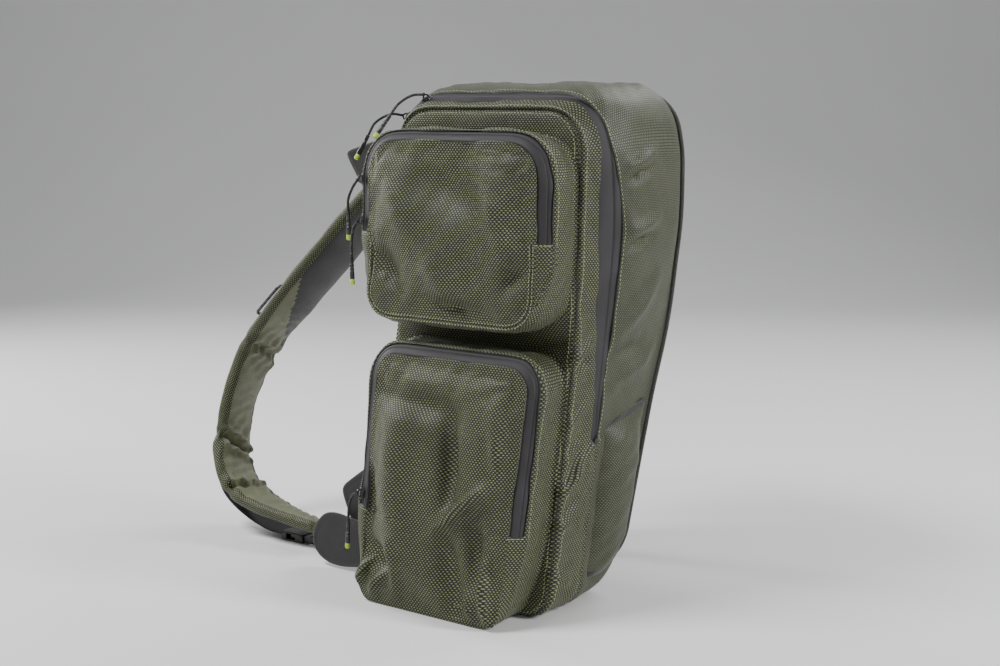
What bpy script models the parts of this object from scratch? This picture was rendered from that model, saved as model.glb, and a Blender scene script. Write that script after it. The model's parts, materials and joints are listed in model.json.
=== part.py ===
"""Fishing rucksack: a soft pack with two front pockets, a wraparound main zip and padded straps.

Metres, +Z up. The pack stands on its flat base at z = 0, its front pockets face -Y and its
back panel faces +Y. The lower half leans forward from the waist, which lies between the pockets.
"""
import math

import bmesh
import bpy
import numpy as np
from mathutils import Matrix, Vector

# Main pack, driving sizes
FRONT_WIDTH = 0.210
FRONT_HEIGHT = 0.463
DEPTH = 0.155
LOW_TAPER = 0.038
FRONT_Y = -0.002
WAIST_Z = 0.250
LOW_LEAN = 0.167
HIGH_LEAN = 0.020
SIDE_BULGE = 0.030
TOP_RISE = 0.027
BACK_BASE_RISE = 0.024
LOW_CORNER = 0.025
LOW_CORNER_GROWTH = 0.3
HIGH_CORNER_GROWTH = 0.45
HIGH_CORNER = 0.034
SHELL_WALL = 0.0025
CLEAR = 0.0003

# Main zip, which runs up one side, over the top and down the other
MAIN_ZIP_WIDTH = 0.026
MAIN_ZIP_END_Z = 0.157
ZIP_WALL = 0.0016
STRIP_AT_TOP = 0.006
STRIP_AT_SIDE = 0.034

# Front pockets
POCKET_WALL = 0.002
POCKET_ZIP_WIDTH = 0.012
UPPER_WIDTH = 0.197
UPPER_LOW_Z = 0.265
UPPER_HIGH_Z = 0.433
UPPER_DEPTH = 0.050
UPPER_CORNER = 0.030
UPPER_ZIP_END_Z = 0.345
UPPER_SHIFT = -0.0033
UPPER_BASE = 0.003
UPPER_NARROW = 0.0
LOWER_WIDTH = 0.176
LOWER_LOW_Z = 0.0
LOWER_HIGH_Z = 0.2325
LOWER_DEPTH = 0.048
LOWER_CORNER = 0.020
LOWER_ZIP_END_Z = 0.085
LOWER_SHIFT = 0.003
LOWER_BASE = 0.010
LOWER_NARROW = 0.0045
BAND_TILT = 40.0
BAND_LIP = 0.002
TOP_REACH = 0.85
LOW_REACH = 0.25
FACE_CROWN = 0.006

# Side pocket on the right flank
SIDE_POCKET_BULGE = 0.014
SIDE_POCKET_STAND_OFF = 0.0026

# Padded back, straps and webbing
BACK_PAD = 0.008
BACK_MARGIN = 0.012
PIPING = 0.0022
STRAP_WIDTH = 0.065
STRAP_THICK = 0.016
WEBBING_WIDTH = 0.038
WEBBING_THICK = 0.0024
WING_THICK = 0.003
WING_EDGE = 0.0006
TOP_WING_BACK = 0.002
LOW_WING_BACK = -0.018
ROUND_TAB_BACK = -0.030
RING_WIRE = 0.0018
RING_HALF_LONG = 0.022
RING_TILT = 0.001
RING_LIFT = 0.0028
RING_SHARE = 0.54

# Buckle of the left strap, lying on the floor
BUCKLE_LONG = 0.030
BUCKLE_WIDE = 0.044
BUCKLE_HIGH = 0.0095
BUCKLE_Z = 0.0050
BUCKLE_BACK = 0.035
BUCKLE_ACROSS = -1.2476
BUCKLE_X = BUCKLE_ACROSS * FRONT_WIDTH
BUCKLE_FIT = 0.0005
BUCKLE_WALL = 0.0018
TINE = 0.006
PLATE_LONG = 0.016

# Zip pulls
SLIDER_LONG = 0.011
SLIDER_WIDE = 0.008
SLIDER_HIGH = 0.005
CORD = 0.0013
GRIP_LONG = 0.027
GRIP_WIDE = 0.0062
GRIP_THICK = 0.0046
GRIP_BEVEL = 0.0009
SLIDER_STAND_OFF = 0.0004

# Room that the side points leave at the rounded corners, as shares of the corner's radius
MAIN_LOW_ROOM = 1.1
MAIN_HIGH_ROOM = 1.25
POCKET_ROOM = 1.45

# Mesh counts around each rounded rectangle and around a tube
TUBE_RESOLUTION = 2
ARC_STEPS = 2
MAIN_ACROSS = 5
POCKET_ACROSS = 4

# Sections of the pack's gusset, from the front seam to the back seam.
# share: way from the zip's back edge to the back seam; bulge, rise and lift: shares of
# SIDE_BULGE, TOP_RISE and BACK_BASE_RISE.
GUSSET = (
    # name, share, bulge, rise, lift
    ("side_a", 0.16, 0.92, 0.86, 0.00),
    ("side_b", 0.42, 1.00, 0.98, 0.00),
    ("side_c", 0.72, 0.97, 1.00, 0.06),
    ("side_d", 0.92, 0.80, 0.86, 0.40),
    ("back_seam", 1.00, 0.58, 0.56, 1.00),
)
# The same columns at the front seam and along the main zip.
ZIP_SECTIONS = (
    # name, share of the zip's width, bulge, rise
    ("zip_front", 0.0, 0.26, 0.13),
    ("zip_coil", 0.5, 0.50, 0.37),
    ("zip_back", 1.0, 0.70, 0.57),
)
# How much of the side bulge is there at each height, as a share of FRONT_HEIGHT.
BULGE_BY_HEIGHT = (
    # height share, bulge share
    (0.00, 0.00),
    (0.20, 0.02),
    (0.39, 0.06),
    (0.54, 0.28),
    (0.65, 0.66),
    (0.77, 1.00),
    (0.88, 1.00),
    (1.00, 0.80),
)
# Dents and bulges of the pack's flanks: along and depth are shares of the height and the depth,
# reach and push are shares of the depth. Push is outward when positive.
FLANK_FOLDS = (
    # name, side, height share, depth share, height reach, depth reach, push
    ("pinch_high", 1, 0.86, 0.44, 0.10, 0.16, -0.030),
    ("pinch_mid", 1, 0.70, 0.46, 0.09, 0.15, -0.036),
    ("bulge_waist", 1, 0.50, 0.62, 0.22, 0.26, 0.030),
    ("sag_low", 1, 0.36, 0.40, 0.16, 0.20, -0.020),
    ("pinch_high_left", -1, 0.84, 0.44, 0.10, 0.16, -0.026),
    ("pinch_mid_left", -1, 0.64, 0.46, 0.11, 0.15, -0.032),
    ("bulge_waist_left", -1, 0.48, 0.62, 0.22, 0.26, 0.024),
)
# Dents of the pocket faces: places and reaches are shares of the face's half width and height,
# deep is a share of FACE_CROWN and tilt is in degrees from upright.
UPPER_DENTS = (
    # name, across, up, half width, half height, tilt, deep
    ("low_left", -0.45, 0.30, 0.30, 0.26, 30, 0.7),
    ("right_hollow", 0.55, 0.48, 0.20, 0.34, -12, 0.6),
    ("top_flat", 0.0, 0.86, 0.60, 0.14, 0, 0.5),
)
LOWER_DENTS = (
    # name, across, up, half width, half height, tilt, deep
    ("left_valley", -0.30, 0.55, 0.16, 0.30, -14, 1.2),
    ("middle_valley", 0.22, 0.62, 0.15, 0.34, 10, 1.4),
    ("right_valley", 0.62, 0.30, 0.14, 0.26, -20, 1.0),
    ("low_left_pinch", -0.78, 0.10, 0.22, 0.12, 35, 1.0),
)

# Left strap, spread out to the side with its low end on the floor. Middle of the pad, as
# shares of FRONT_WIDTH, DEPTH (from FRONT_Y) and FRONT_HEIGHT, and the way its width points.
LEFT_STRAP = (
    # across, back, up, width x, width y, width z, width share
    (-0.205, 1.100, 0.840, 1.0, 0.00, 0.00, 1.00),
    (-0.210, 1.100, 0.895, 1.0, 0.00, 0.00, 1.00),
    (-0.270, 1.290, 0.955, 1.0, 0.10, 0.10, 1.00),
    (-0.470, 1.370, 0.985, 0.5, 0.90, 0.15, 1.00),
    (-0.720, 1.220, 0.955, 0.1, 1.00, 0.00, 1.00),
    (-0.950, 1.040, 0.885, 0.1, 1.00, 0.00, 1.00),
    (-1.147, 0.855, 0.781, 0.18, 1.00, 0.00, 1.00),
    (-1.401, 0.661, 0.628, 0.22, 1.00, 0.00, 1.00),
    (-1.582, 0.532, 0.517, 0.16, 1.00, 0.00, 1.00),
    (-1.740, 0.468, 0.424, 0.00, 1.00, 0.00, 0.97),
    (-1.801, 0.339, 0.307, -0.15, 1.00, 0.00, 0.92),
    (-1.805, 0.274, 0.219, -0.15, 1.00, 0.00, 0.85),
    (-1.748, 0.177, 0.162, -0.10, 1.00, 0.00, 0.80),
    (-1.600, 0.113, 0.096, 0.0, 1.00, 0.00, 0.80),
    (-1.280, 0.048, 0.069, 0.0, 1.00, 0.00, 0.75),
    (-1.010, 0.030, 0.055, 0.0, 1.00, 0.00, 0.55),
)
# Right strap, hanging slack behind the pack with its low end on the floor.
RIGHT_STRAP = (
    # across, back, up, width x, width y, width z, width share
    (0.150, 1.100, 0.840, 1.0, 0.00, 0.00, 1.00),
    (0.150, 1.100, 0.895, 1.0, 0.00, 0.00, 1.00),
    (0.140, 1.215, 0.945, 1.0, 0.00, 0.00, 1.00),
    (0.120, 1.340, 0.955, 1.0, 0.00, 0.00, 1.00),
    (0.090, 1.480, 0.880, 1.0, 0.00, 0.00, 1.00),
    (0.050, 1.560, 0.740, 1.0, 0.00, 0.00, 1.00),
    (0.000, 1.570, 0.580, 1.0, 0.00, 0.00, 1.00),
    (-0.050, 1.510, 0.420, 1.0, 0.00, 0.00, 1.00),
    (-0.100, 1.400, 0.270, 1.0, 0.00, 0.00, 1.00),
    (-0.130, 1.270, 0.140, 1.0, 0.00, 0.00, 1.00),
    (-0.140, 1.130, 0.050, 1.0, 0.00, 0.00, 0.95),
    (-0.145, 0.970, 0.0200, 1.0, 0.00, 0.00, 0.80),
    (-0.150, 0.850, 0.0180, 1.0, 0.00, 0.00, 0.60),
)

# Left webbing from the strap's outer face towards the buckle, in the same shares.
HIGH_WEBBING = (
    # across, back, up
    (-1.812, 0.220, 0.1500),
    (-1.745, 0.200, 0.0850),
    (-1.600, 0.200, 0.0420),
    (-1.450, 0.215, 0.0160),
)
# Left webbing from the buckle to the left flank: out from the flank and back from FRONT_Y, as
# shares of FRONT_WIDTH and DEPTH, and up as a share of FRONT_HEIGHT.
LOW_WEBBING = (
    # out, back, up
    (0.240, 0.265, 0.0100),
    (0.076, 0.325, 0.0120),
    (0.019, 0.370, 0.0350),
    (0.000, 0.390, 0.0780),
    (0.000, 0.395, 0.1120),
)
# Right webbing from the strap's end up the padded back: off the back's surface as a share of
# DEPTH, and up as a share of FRONT_HEIGHT.
RIGHT_WEBBING = (
    # off, up
    (0.050, 0.045),
    (0.000, 0.092),
    (0.000, 0.125),
    (0.000, 0.165),
)

# Tabs along the left seam. Columns: across outward from the flank, as a share of FRONT_WIDTH
# (0 lies on the flank), and up as a share of FRONT_HEIGHT.
TOP_WING = ((0.0, 0.944), (0.150, 0.929), (0.316, 0.907), (0.215, 0.838), (0.0, 0.735))
LOW_WING = ((0.0, 0.258), (0.110, 0.232), (0.276, 0.177), (0.175, 0.075), (0.0, 0.060))
ROUND_TAB = ((0.0, 0.115), (0.150, 0.120), (0.250, 0.128), (0.330, 0.122), (0.385, 0.095),
             (0.415, 0.060), (0.390, 0.028), (0.320, 0.009), (0.210, 0.005), (0.0, 0.025))

# Routes of the pulls' cords, in steps chosen by hand.
MAIN_A_ROUTE = ((-0.008, -0.009, 0.001), (-0.009, -0.013, -0.008), (-0.004, -0.006, -0.012))
MAIN_B_ROUTE = ((-0.006, -0.012, -0.001), (-0.007, -0.012, -0.008), (-0.004, -0.008, -0.011))
UPPER_A_ROUTE = ((-0.006, -0.001, -0.008), (-0.006, 0.000, -0.012), (-0.001, 0.001, -0.012))
UPPER_B_ROUTE = ((-0.004, -0.002, -0.008), (0.000, -0.003, -0.013), (0.002, -0.002, -0.013))
LOWER_A_ROUTE = ((-0.006, 0.000, -0.004), (-0.005, 0.001, -0.012), (-0.001, 0.000, -0.014))

COLOURS = {
    # material: colour, roughness, metallic
    "weave": ((0.055, 0.062, 0.040), 0.70, 0.0),
    "coated_tape": ((0.020, 0.020, 0.020), 0.50, 0.0),
    "webbing": ((0.012, 0.012, 0.012), 0.80, 0.0),
    "moulded": ((0.015, 0.015, 0.015), 0.40, 0.0),
    "slider": ((0.050, 0.050, 0.050), 0.35, 0.8),
}


def clear_scene():
    """Start from an empty file."""
    for obj in list(bpy.data.objects):
        bpy.data.objects.remove(obj, do_unlink=True)


def material(kind, name):
    """The sub-part's own material."""
    colour, roughness, metallic = COLOURS[kind]
    mat = bpy.data.materials.new(name)
    mat.use_nodes = True
    shader = mat.node_tree.nodes["Principled BSDF"]
    shader.inputs["Base Color"].default_value = (*colour, 1.0)
    shader.inputs["Roughness"].default_value = roughness
    shader.inputs["Metallic"].default_value = metallic
    return mat


def add_object(name, mesh, kind, collection):
    """A named object with its own material."""
    obj = bpy.data.objects.new(name, mesh)
    mesh.materials.append(material(kind, name))
    collection.objects.link(obj)
    return obj


def smooth_step(value):
    value = min(max(value, 0.0), 1.0)
    return value * value * (3.0 - 2.0 * value)


def table_value(table, key):
    """Smooth value between the rows of a two-column table."""
    if key <= table[0][0]:
        return table[0][1]
    for low, high in zip(table, table[1:]):
        if key <= high[0]:
            share = (key - low[0]) / (high[0] - low[0])
            return low[1] + (high[1] - low[1]) * smooth_step(share)
    return table[-1][1]


def lean(z):
    """How far the pack's front and back stand off from upright at a height."""
    if z < WAIST_Z:
        return -LOW_LEAN * (WAIST_Z - z)
    return HIGH_LEAN * (z - WAIST_Z)


def depth_at(z):
    """The pack's depth, which tapers below the waist."""
    return DEPTH - LOW_TAPER * max(WAIST_Z - z, 0.0) / WAIST_Z


def arc(centre, radius, start, end, steps):
    """Points of an arc in the XZ plane, angles in degrees."""
    angles = np.radians(np.linspace(start, end, steps + 1))
    return [(centre[0] + radius * math.cos(a), centre[1] + radius * math.sin(a)) for a in angles]


def rounded_ring(half_low, half_high, low, high, corner_low, corner_high, heights, half_at, across):
    """A rounded rectangle in XZ, anticlockwise from the middle of its low left corner.

    heights: fixed heights of the side points; half_at: half width at a height.
    """
    steps = ARC_STEPS
    bottom = arc((-half_low + corner_low, low + corner_low), corner_low, 225, 270, steps)
    for share in np.linspace(0, 1, across + 2)[1:-1]:
        bottom.append(((2 * share - 1) * (half_low - corner_low), low))
    bottom += arc((half_low - corner_low, low + corner_low), corner_low, 270, 315, steps)
    right = arc((half_low - corner_low, low + corner_low), corner_low, 315, 360, steps)[1:]
    right += [(half_at(z), z) for z in heights]
    right += arc((half_high - corner_high, high - corner_high), corner_high, 0, 45, steps)
    top = arc((half_high - corner_high, high - corner_high), corner_high, 45, 90, steps)[1:]
    for share in np.linspace(1, 0, across + 2)[1:-1]:
        top.append(((2 * share - 1) * (half_high - corner_high), high))
    top += arc((-half_high + corner_high, high - corner_high), corner_high, 90, 135, steps)
    left = arc((-half_high + corner_high, high - corner_high), corner_high, 135, 180, steps)[1:]
    left += [(-half_at(z), z) for z in reversed(heights)]
    left += arc((-half_low + corner_low, low + corner_low), corner_low, 180, 225, steps)[:-1]
    return bottom + right + top + left


def fill_grid(ring, columns, rows, waist_row=None, waist_z=None):
    """Points of a surface spanning a ring: columns x rows, with the ring as its border."""
    ring = [Vector(p) for p in ring]
    bottom = ring[:columns + 1]
    right = ring[columns:columns + rows + 1]
    top = list(reversed(ring[columns + rows:2 * columns + rows + 1]))
    left = [ring[0]] + list(reversed(ring[2 * columns + rows:]))
    grid = {}
    for i in range(columns + 1):
        for j in range(rows + 1):
            u = i / columns
            v = j / rows
            corners = ((1 - u) * (1 - v) * bottom[0] + u * (1 - v) * bottom[-1]
                       + (1 - u) * v * top[0] + u * v * top[-1])
            point = ((1 - v) * bottom[i] + v * top[i] + (1 - u) * left[j] + u * right[j] - corners)
            if j == waist_row and 0 < i < columns:
                point.z = waist_z
            grid[i, j] = point
    return grid


def border_index(i, j, columns, rows):
    """Ring index of a border point of a fill grid."""
    count = 2 * (columns + rows)
    if j == 0:
        return i
    if i == columns:
        return columns + j
    if j == rows:
        return 2 * columns + rows - i
    return (count - j) % count


def skin(rings, columns, rows, front=None, back=None, skip=()):
    """Mesh of stacked rings with filled ends; skip holds (ring, index) pairs left open."""
    count = 2 * (columns + rows)
    bm = bmesh.new()
    verts = [[bm.verts.new(p) for p in ring] for ring in rings]
    for k in range(len(rings) - 1):
        for n in range(count):
            if (k, n) in skip:
                continue
            m = (n + 1) % count
            bm.faces.new((verts[k][n], verts[k + 1][n], verts[k + 1][m], verts[k][m]))
    for grid, ring, flip in ((front, 0, False), (back, -1, True)):
        if grid is None:
            continue
        cell = {}
        for (i, j), point in grid.items():
            edge = i in (0, columns) or j in (0, rows)
            if edge:
                cell[i, j] = verts[ring][border_index(i, j, columns, rows)]
            else:
                cell[i, j] = bm.verts.new(point)
        for i in range(columns):
            for j in range(rows):
                face = [cell[i, j], cell[i + 1, j], cell[i + 1, j + 1], cell[i, j + 1]]
                if flip:
                    face.reverse()
                bm.faces.new(face)
    loose = [v for v in bm.verts if not v.link_faces]
    bmesh.ops.delete(bm, geom=loose, context="VERTS")
    mesh = bpy.data.meshes.new("skin")
    bm.to_mesh(mesh)
    bm.free()
    return mesh


def thicken(obj, wall):
    """Give an open surface its wall, inward from its faces."""
    mod = obj.modifiers.new("wall", "SOLIDIFY")
    mod.thickness = wall
    mod.offset = -1.0
    mod.use_even_offset = True
    mod.use_rim = True


# The main pack's surface


def side_heights():
    """Heights of the side points, with rows at the zip's end and at the waist."""
    low = MAIN_LOW_ROOM * LOW_CORNER * (1.0 + LOW_CORNER_GROWTH) + BACK_BASE_RISE
    high = FRONT_HEIGHT - MAIN_HIGH_ROOM * HIGH_CORNER
    parts = list(np.linspace(low, MAIN_ZIP_END_Z, 4))
    parts += list(np.linspace(MAIN_ZIP_END_Z, WAIST_Z, 4))[1:]
    parts += list(np.linspace(WAIST_Z, high, 6))[1:]
    return [float(z) for z in parts]


MAIN_ROWS = len(side_heights()) + 1 + 2 * ARC_STEPS
MAIN_COLUMNS = MAIN_ACROSS + 1 + 2 * ARC_STEPS


def strip_width(z):
    """Width of the woven strip between the front seam and the main zip."""
    fall = (FRONT_HEIGHT - z) / (FRONT_HEIGHT - MAIN_ZIP_END_Z)
    share = min(max(fall, 0.0), 1.0) ** 0.6
    return STRIP_AT_TOP + (STRIP_AT_SIDE - STRIP_AT_TOP) * share


def bulge_at(z):
    return SIDE_BULGE * table_value(BULGE_BY_HEIGHT, z / FRONT_HEIGHT)


def gusset_sections():
    """Rows of the gusset: name, way to depth at a height, bulge, rise, lift."""
    rows = [("front_seam", lambda z: 0.0, 0.0, 0.0, 0.0)]
    for name, share, bulge, rise in ZIP_SECTIONS:
        rows.append((name, lambda z, s=share: strip_width(z) + s * MAIN_ZIP_WIDTH, bulge, rise, 0.0))
    for name, share, bulge, rise, lift in GUSSET:
        def depth(z, s=share):
            zip_back = strip_width(z) + MAIN_ZIP_WIDTH
            return zip_back + s * (depth_at(z) - zip_back)
        rows.append((name, depth, bulge, rise, lift))
    return rows


def fold_push(x, z, depth):
    """Outward push of the flank folds at a point."""
    push = 0.0
    for _, side, height, back, tall, deep, share in FLANK_FOLDS:
        if side * x < 0.6 * FRONT_WIDTH / 2:
            continue
        along = (z - height * FRONT_HEIGHT) / (tall * FRONT_HEIGHT)
        away = (depth - back * DEPTH) / (deep * DEPTH)
        push += share * DEPTH * math.exp(-2.0 * (along * along + away * away))
    return push


def gusset_ring(section):
    """Points of one gusset section in space."""
    _, depth, bulge, rise, lift = section
    heights = side_heights()

    def half_at(z):
        return FRONT_WIDTH / 2 + bulge * bulge_at(z)

    low = lift * BACK_BASE_RISE
    high = FRONT_HEIGHT + rise * TOP_RISE
    corner_low = LOW_CORNER * (1.0 + LOW_CORNER_GROWTH * lift)
    corner_high = HIGH_CORNER * (1.0 + HIGH_CORNER_GROWTH * bulge)
    flat = rounded_ring(half_at(low), half_at(high), low, high, corner_low, corner_high,
                        heights, half_at, MAIN_ACROSS)
    points = []
    for x, z in flat:
        way = depth(z)
        push = fold_push(x, z, way)
        points.append(Vector((x + math.copysign(push, x), FRONT_Y + lean(z) + way, z)))
    return points


def waist_row():
    return ARC_STEPS + 1 + side_heights().index(WAIST_Z)


def zip_span():
    """Ring indices of the side points where the main zip starts and ends."""
    first = MAIN_COLUMNS + ARC_STEPS + 1 + side_heights().index(MAIN_ZIP_END_Z)
    last = 2 * (MAIN_COLUMNS + MAIN_ROWS) - (first - MAIN_COLUMNS)
    return first, last


def lay_on_plane(grid, columns, rows, way_at):
    """Set a fill grid's inner points on the pack's leaning front or back plane."""
    for (i, j), point in grid.items():
        if 0 < i < columns and 0 < j < rows:
            point.y = FRONT_Y + lean(point.z) + way_at(point.z)
    return grid


def build_main_shell(collection):
    """The pack's body: front panel, gusset and back in one hollow wall with the zip's slit."""
    rings = [gusset_ring(section) for section in gusset_sections()]
    columns, rows = MAIN_COLUMNS, MAIN_ROWS
    front = fill_grid(rings[0], columns, rows, waist_row(), WAIST_Z)
    back = fill_grid(rings[-1], columns, rows, waist_row(), WAIST_Z)
    lay_on_plane(front, columns, rows, lambda z: 0.0)
    lay_on_plane(back, columns, rows, depth_at)
    first, last = zip_span()
    skip = {(k, n) for k in (1, 2) for n in range(first, last)}
    mesh = skin(rings, columns, rows, front, back, skip)
    obj = add_object("main_shell", mesh, "weave", collection)
    thicken(obj, SHELL_WALL)
    return obj


def strip_mesh(rows_of_points):
    """A ribbon from rows of points, its faces pointing outward."""
    bm = bmesh.new()
    verts = [[bm.verts.new(p) for p in row] for row in rows_of_points]
    for low, high in zip(verts, verts[1:]):
        for a in range(len(low) - 1):
            bm.faces.new((low[a], high[a], high[a + 1], low[a + 1]))
    mesh = bpy.data.meshes.new("strip")
    bm.to_mesh(mesh)
    bm.free()
    return mesh


def inset_strip(rows_of_points, gap, back_gap):
    """Pull a ribbon's front edge and its ends in by a gap, and its back edge by another."""
    result = []
    for row in rows_of_points:
        row = [Vector(p) for p in row]
        result.append(row)
    for index in range(len(result[0])):
        for edge, inner, away in ((0, 1, gap), (-1, -2, back_gap)):
            step = result[inner][index] - result[edge][index]
            result[edge][index] = result[edge][index] + step.normalized() * away
    for row in result:
        for edge, inner in ((0, 1), (-1, -2)):
            step = row[inner] - row[edge]
            row[edge] = row[edge] + step.normalized() * gap
    return result


def build_main_zip(collection):
    """The coated tape that fills the slit of the main shell."""
    sections = gusset_sections()
    first, last = zip_span()
    rows_of_points = [gusset_ring(sections[k])[first:last + 1] for k in (1, 2, 3)]
    mesh = strip_mesh(inset_strip(rows_of_points, CLEAR + 0.1 * ZIP_WALL, CLEAR + 0.2 * ZIP_WALL))
    obj = add_object("main_zip", mesh, "coated_tape", collection)
    thicken(obj, ZIP_WALL)
    return obj


# Front pockets


class Pocket:
    """Sizes of one front pocket and its surface.

    The face narrows to its low edge, shift moves it across, and base is how far the pocket's
    foot on the front panel reaches past the face.
    """

    def __init__(self, name, width, low, high, depth, corner, zip_end, shift, base, narrow, dents,
                 side_rows):
        self.name = name
        self.width = width
        self.low = low
        self.high = high
        self.depth = depth
        self.corner = corner
        self.zip_end = zip_end
        self.shift = shift
        self.base = base
        self.narrow = narrow
        self.dents = dents
        self.columns = POCKET_ACROSS + 1 + 2 * ARC_STEPS
        below = list(np.linspace(low + POCKET_ROOM * corner, zip_end, side_rows[0] + 1))
        above = list(np.linspace(zip_end, high - POCKET_ROOM * corner, side_rows[1] + 1))[1:]
        self.heights = [float(z) for z in below + above]
        self.rows = len(self.heights) + 1 + 2 * ARC_STEPS

    def face_half(self, z):
        """Half width of the face at a height."""
        up = min(max((z - self.low) / (self.high - self.low), 0.0), 1.0)
        return self.width / 2 - self.narrow * (1.0 - up)

    def reach(self, z):
        """Share of an outline's growth at a height: less below the zip's end."""
        return LOW_REACH + (1.0 - LOW_REACH) * smooth_step((z - self.low) / (self.zip_end - self.low))

    def ring(self, grow, way):
        """Outline grown by an amount, at a way forward of the front panel."""
        low = max(self.low - LOW_REACH * grow, 0.0)
        high = self.high + TOP_REACH * grow

        def half_at(z):
            return self.face_half(z) + grow * self.reach(z)

        flat = rounded_ring(half_at(low), half_at(high), low, high, self.corner + LOW_REACH * grow,
                            self.corner + grow, self.heights, half_at, POCKET_ACROSS)
        across = self.shift * way / self.depth
        return [Vector((x + across, FRONT_Y + lean(z) - way, z)) for x, z in flat]

    def sections(self):
        """Rings from the face's edge to the front panel; the zip's slit follows the second."""
        out = math.cos(math.radians(BAND_TILT))
        back = math.sin(math.radians(BAND_TILT))
        rim = 2 * BAND_LIP + POCKET_ZIP_WIDTH
        runs = (0.0, BAND_LIP, BAND_LIP + POCKET_ZIP_WIDTH, rim)
        rings = [self.ring(run * out, self.depth - run * back) for run in runs]
        rings.append(self.ring(rim * out, 0.5 * (self.depth - rim * back)))
        rings.append(self.ring(self.base, CLEAR))
        return rings

    def zip_span(self):
        first = self.columns + ARC_STEPS + 1 + self.heights.index(self.zip_end)
        last = 2 * (self.columns + self.rows) - (first - self.columns)
        return first, last

    def face(self, ring):
        """The crowned face with its dents."""
        grid = fill_grid(ring, self.columns, self.rows)
        middle = (self.low + self.high) / 2
        tall = (self.high - self.low) / 2
        for (i, j), point in grid.items():
            if i in (0, self.columns) or j in (0, self.rows):
                continue
            u = (point.x - self.shift) / self.face_half(point.z)
            v = (point.z - middle) / tall
            crown = max(1 - u ** 4, 0.0) * max(1 - v ** 4, 0.0)
            push = crown
            for _, across, up, wide, high, tilt, deep in self.dents:
                turn = math.radians(tilt)
                du = (u - across) * self.width / 2
                dv = (v - (2 * up - 1)) * tall
                right = du * math.cos(turn) + dv * math.sin(turn)
                rise = -du * math.sin(turn) + dv * math.cos(turn)
                away = (right / (wide * self.width / 2)) ** 2 + (rise / (high * 2 * tall)) ** 2
                push -= deep * crown * math.exp(-1.5 * away)
            point.y = FRONT_Y + lean(point.z) - self.depth - FACE_CROWN * push
        return grid


def build_pocket(pocket, collection):
    """A pocket's hollow wall, open to the front panel, with the slit for its zip."""
    rings = pocket.sections()
    first, last = pocket.zip_span()
    skip = {(1, n) for n in range(first, last)}
    mesh = skin(rings, pocket.columns, pocket.rows, pocket.face(rings[0]), None, skip)
    obj = add_object(pocket.name, mesh, "weave", collection)
    thicken(obj, POCKET_WALL)
    return obj


def build_pocket_zip(pocket, collection):
    """The tape in a pocket's slit."""
    rings = pocket.sections()
    first, last = pocket.zip_span()
    front = rings[1][first:last + 1]
    back = rings[2][first:last + 1]
    middle = [(a + b) / 2 for a, b in zip(front, back)]
    mesh = strip_mesh(inset_strip([front, middle, back], CLEAR, CLEAR))
    obj = add_object(pocket.name + "_zip", mesh, "coated_tape", collection)
    thicken(obj, ZIP_WALL)
    return obj


UPPER = Pocket("upper_pocket", UPPER_WIDTH, UPPER_LOW_Z, UPPER_HIGH_Z, UPPER_DEPTH, UPPER_CORNER,
               UPPER_ZIP_END_Z, UPPER_SHIFT, UPPER_BASE, UPPER_NARROW, UPPER_DENTS, (2, 2))
LOWER = Pocket("lower_pocket", LOWER_WIDTH, LOWER_LOW_Z, LOWER_HIGH_Z, LOWER_DEPTH, LOWER_CORNER,
               LOWER_ZIP_END_Z, LOWER_SHIFT, LOWER_BASE, LOWER_NARROW, LOWER_DENTS, (2, 5))


# Tubes, bands and flat tabs


def tube(name, points, radius, kind, collection, closed=False):
    """A cord or rail of round section through chosen points."""
    curve = bpy.data.curves.new(name, "CURVE")
    curve.dimensions = "3D"
    spline = curve.splines.new("POLY")
    spline.points.add(len(points) - 1)
    for place, point in zip(spline.points, points):
        place.co = (*point, 1.0)
    spline.use_cyclic_u = closed
    curve.bevel_depth = radius
    curve.bevel_resolution = TUBE_RESOLUTION
    curve.use_fill_caps = not closed
    obj = bpy.data.objects.new(name, curve)
    curve.materials.append(material(kind, name))
    collection.objects.link(obj)
    return obj


def smooth_route(points, steps):
    """Points of a smooth curve through a route; columns past the third go straight."""
    rows = [np.array(p, dtype=float) for p in points]
    rows = [2 * rows[0] - rows[1]] + rows + [2 * rows[-1] - rows[-2]]
    result = []
    for k in range(1, len(rows) - 2):
        a, b, c, d = rows[k - 1:k + 3]
        length = np.linalg.norm(c[:3] - b[:3])
        leave = length * (c - a)[:3] / np.linalg.norm((c - a)[:3])
        arrive = length * (d - b)[:3] / np.linalg.norm((d - b)[:3])
        for step in range(steps):
            t = step / steps
            row = b + (c - b) * t
            row[:3] = ((2 * t ** 3 - 3 * t ** 2 + 1) * b[:3] + (t ** 3 - 2 * t ** 2 + t) * leave
                       + (3 * t ** 2 - 2 * t ** 3) * c[:3] + (t ** 3 - t ** 2) * arrive)
            result.append(row)
    result.append(rows[-2])
    return result


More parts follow.
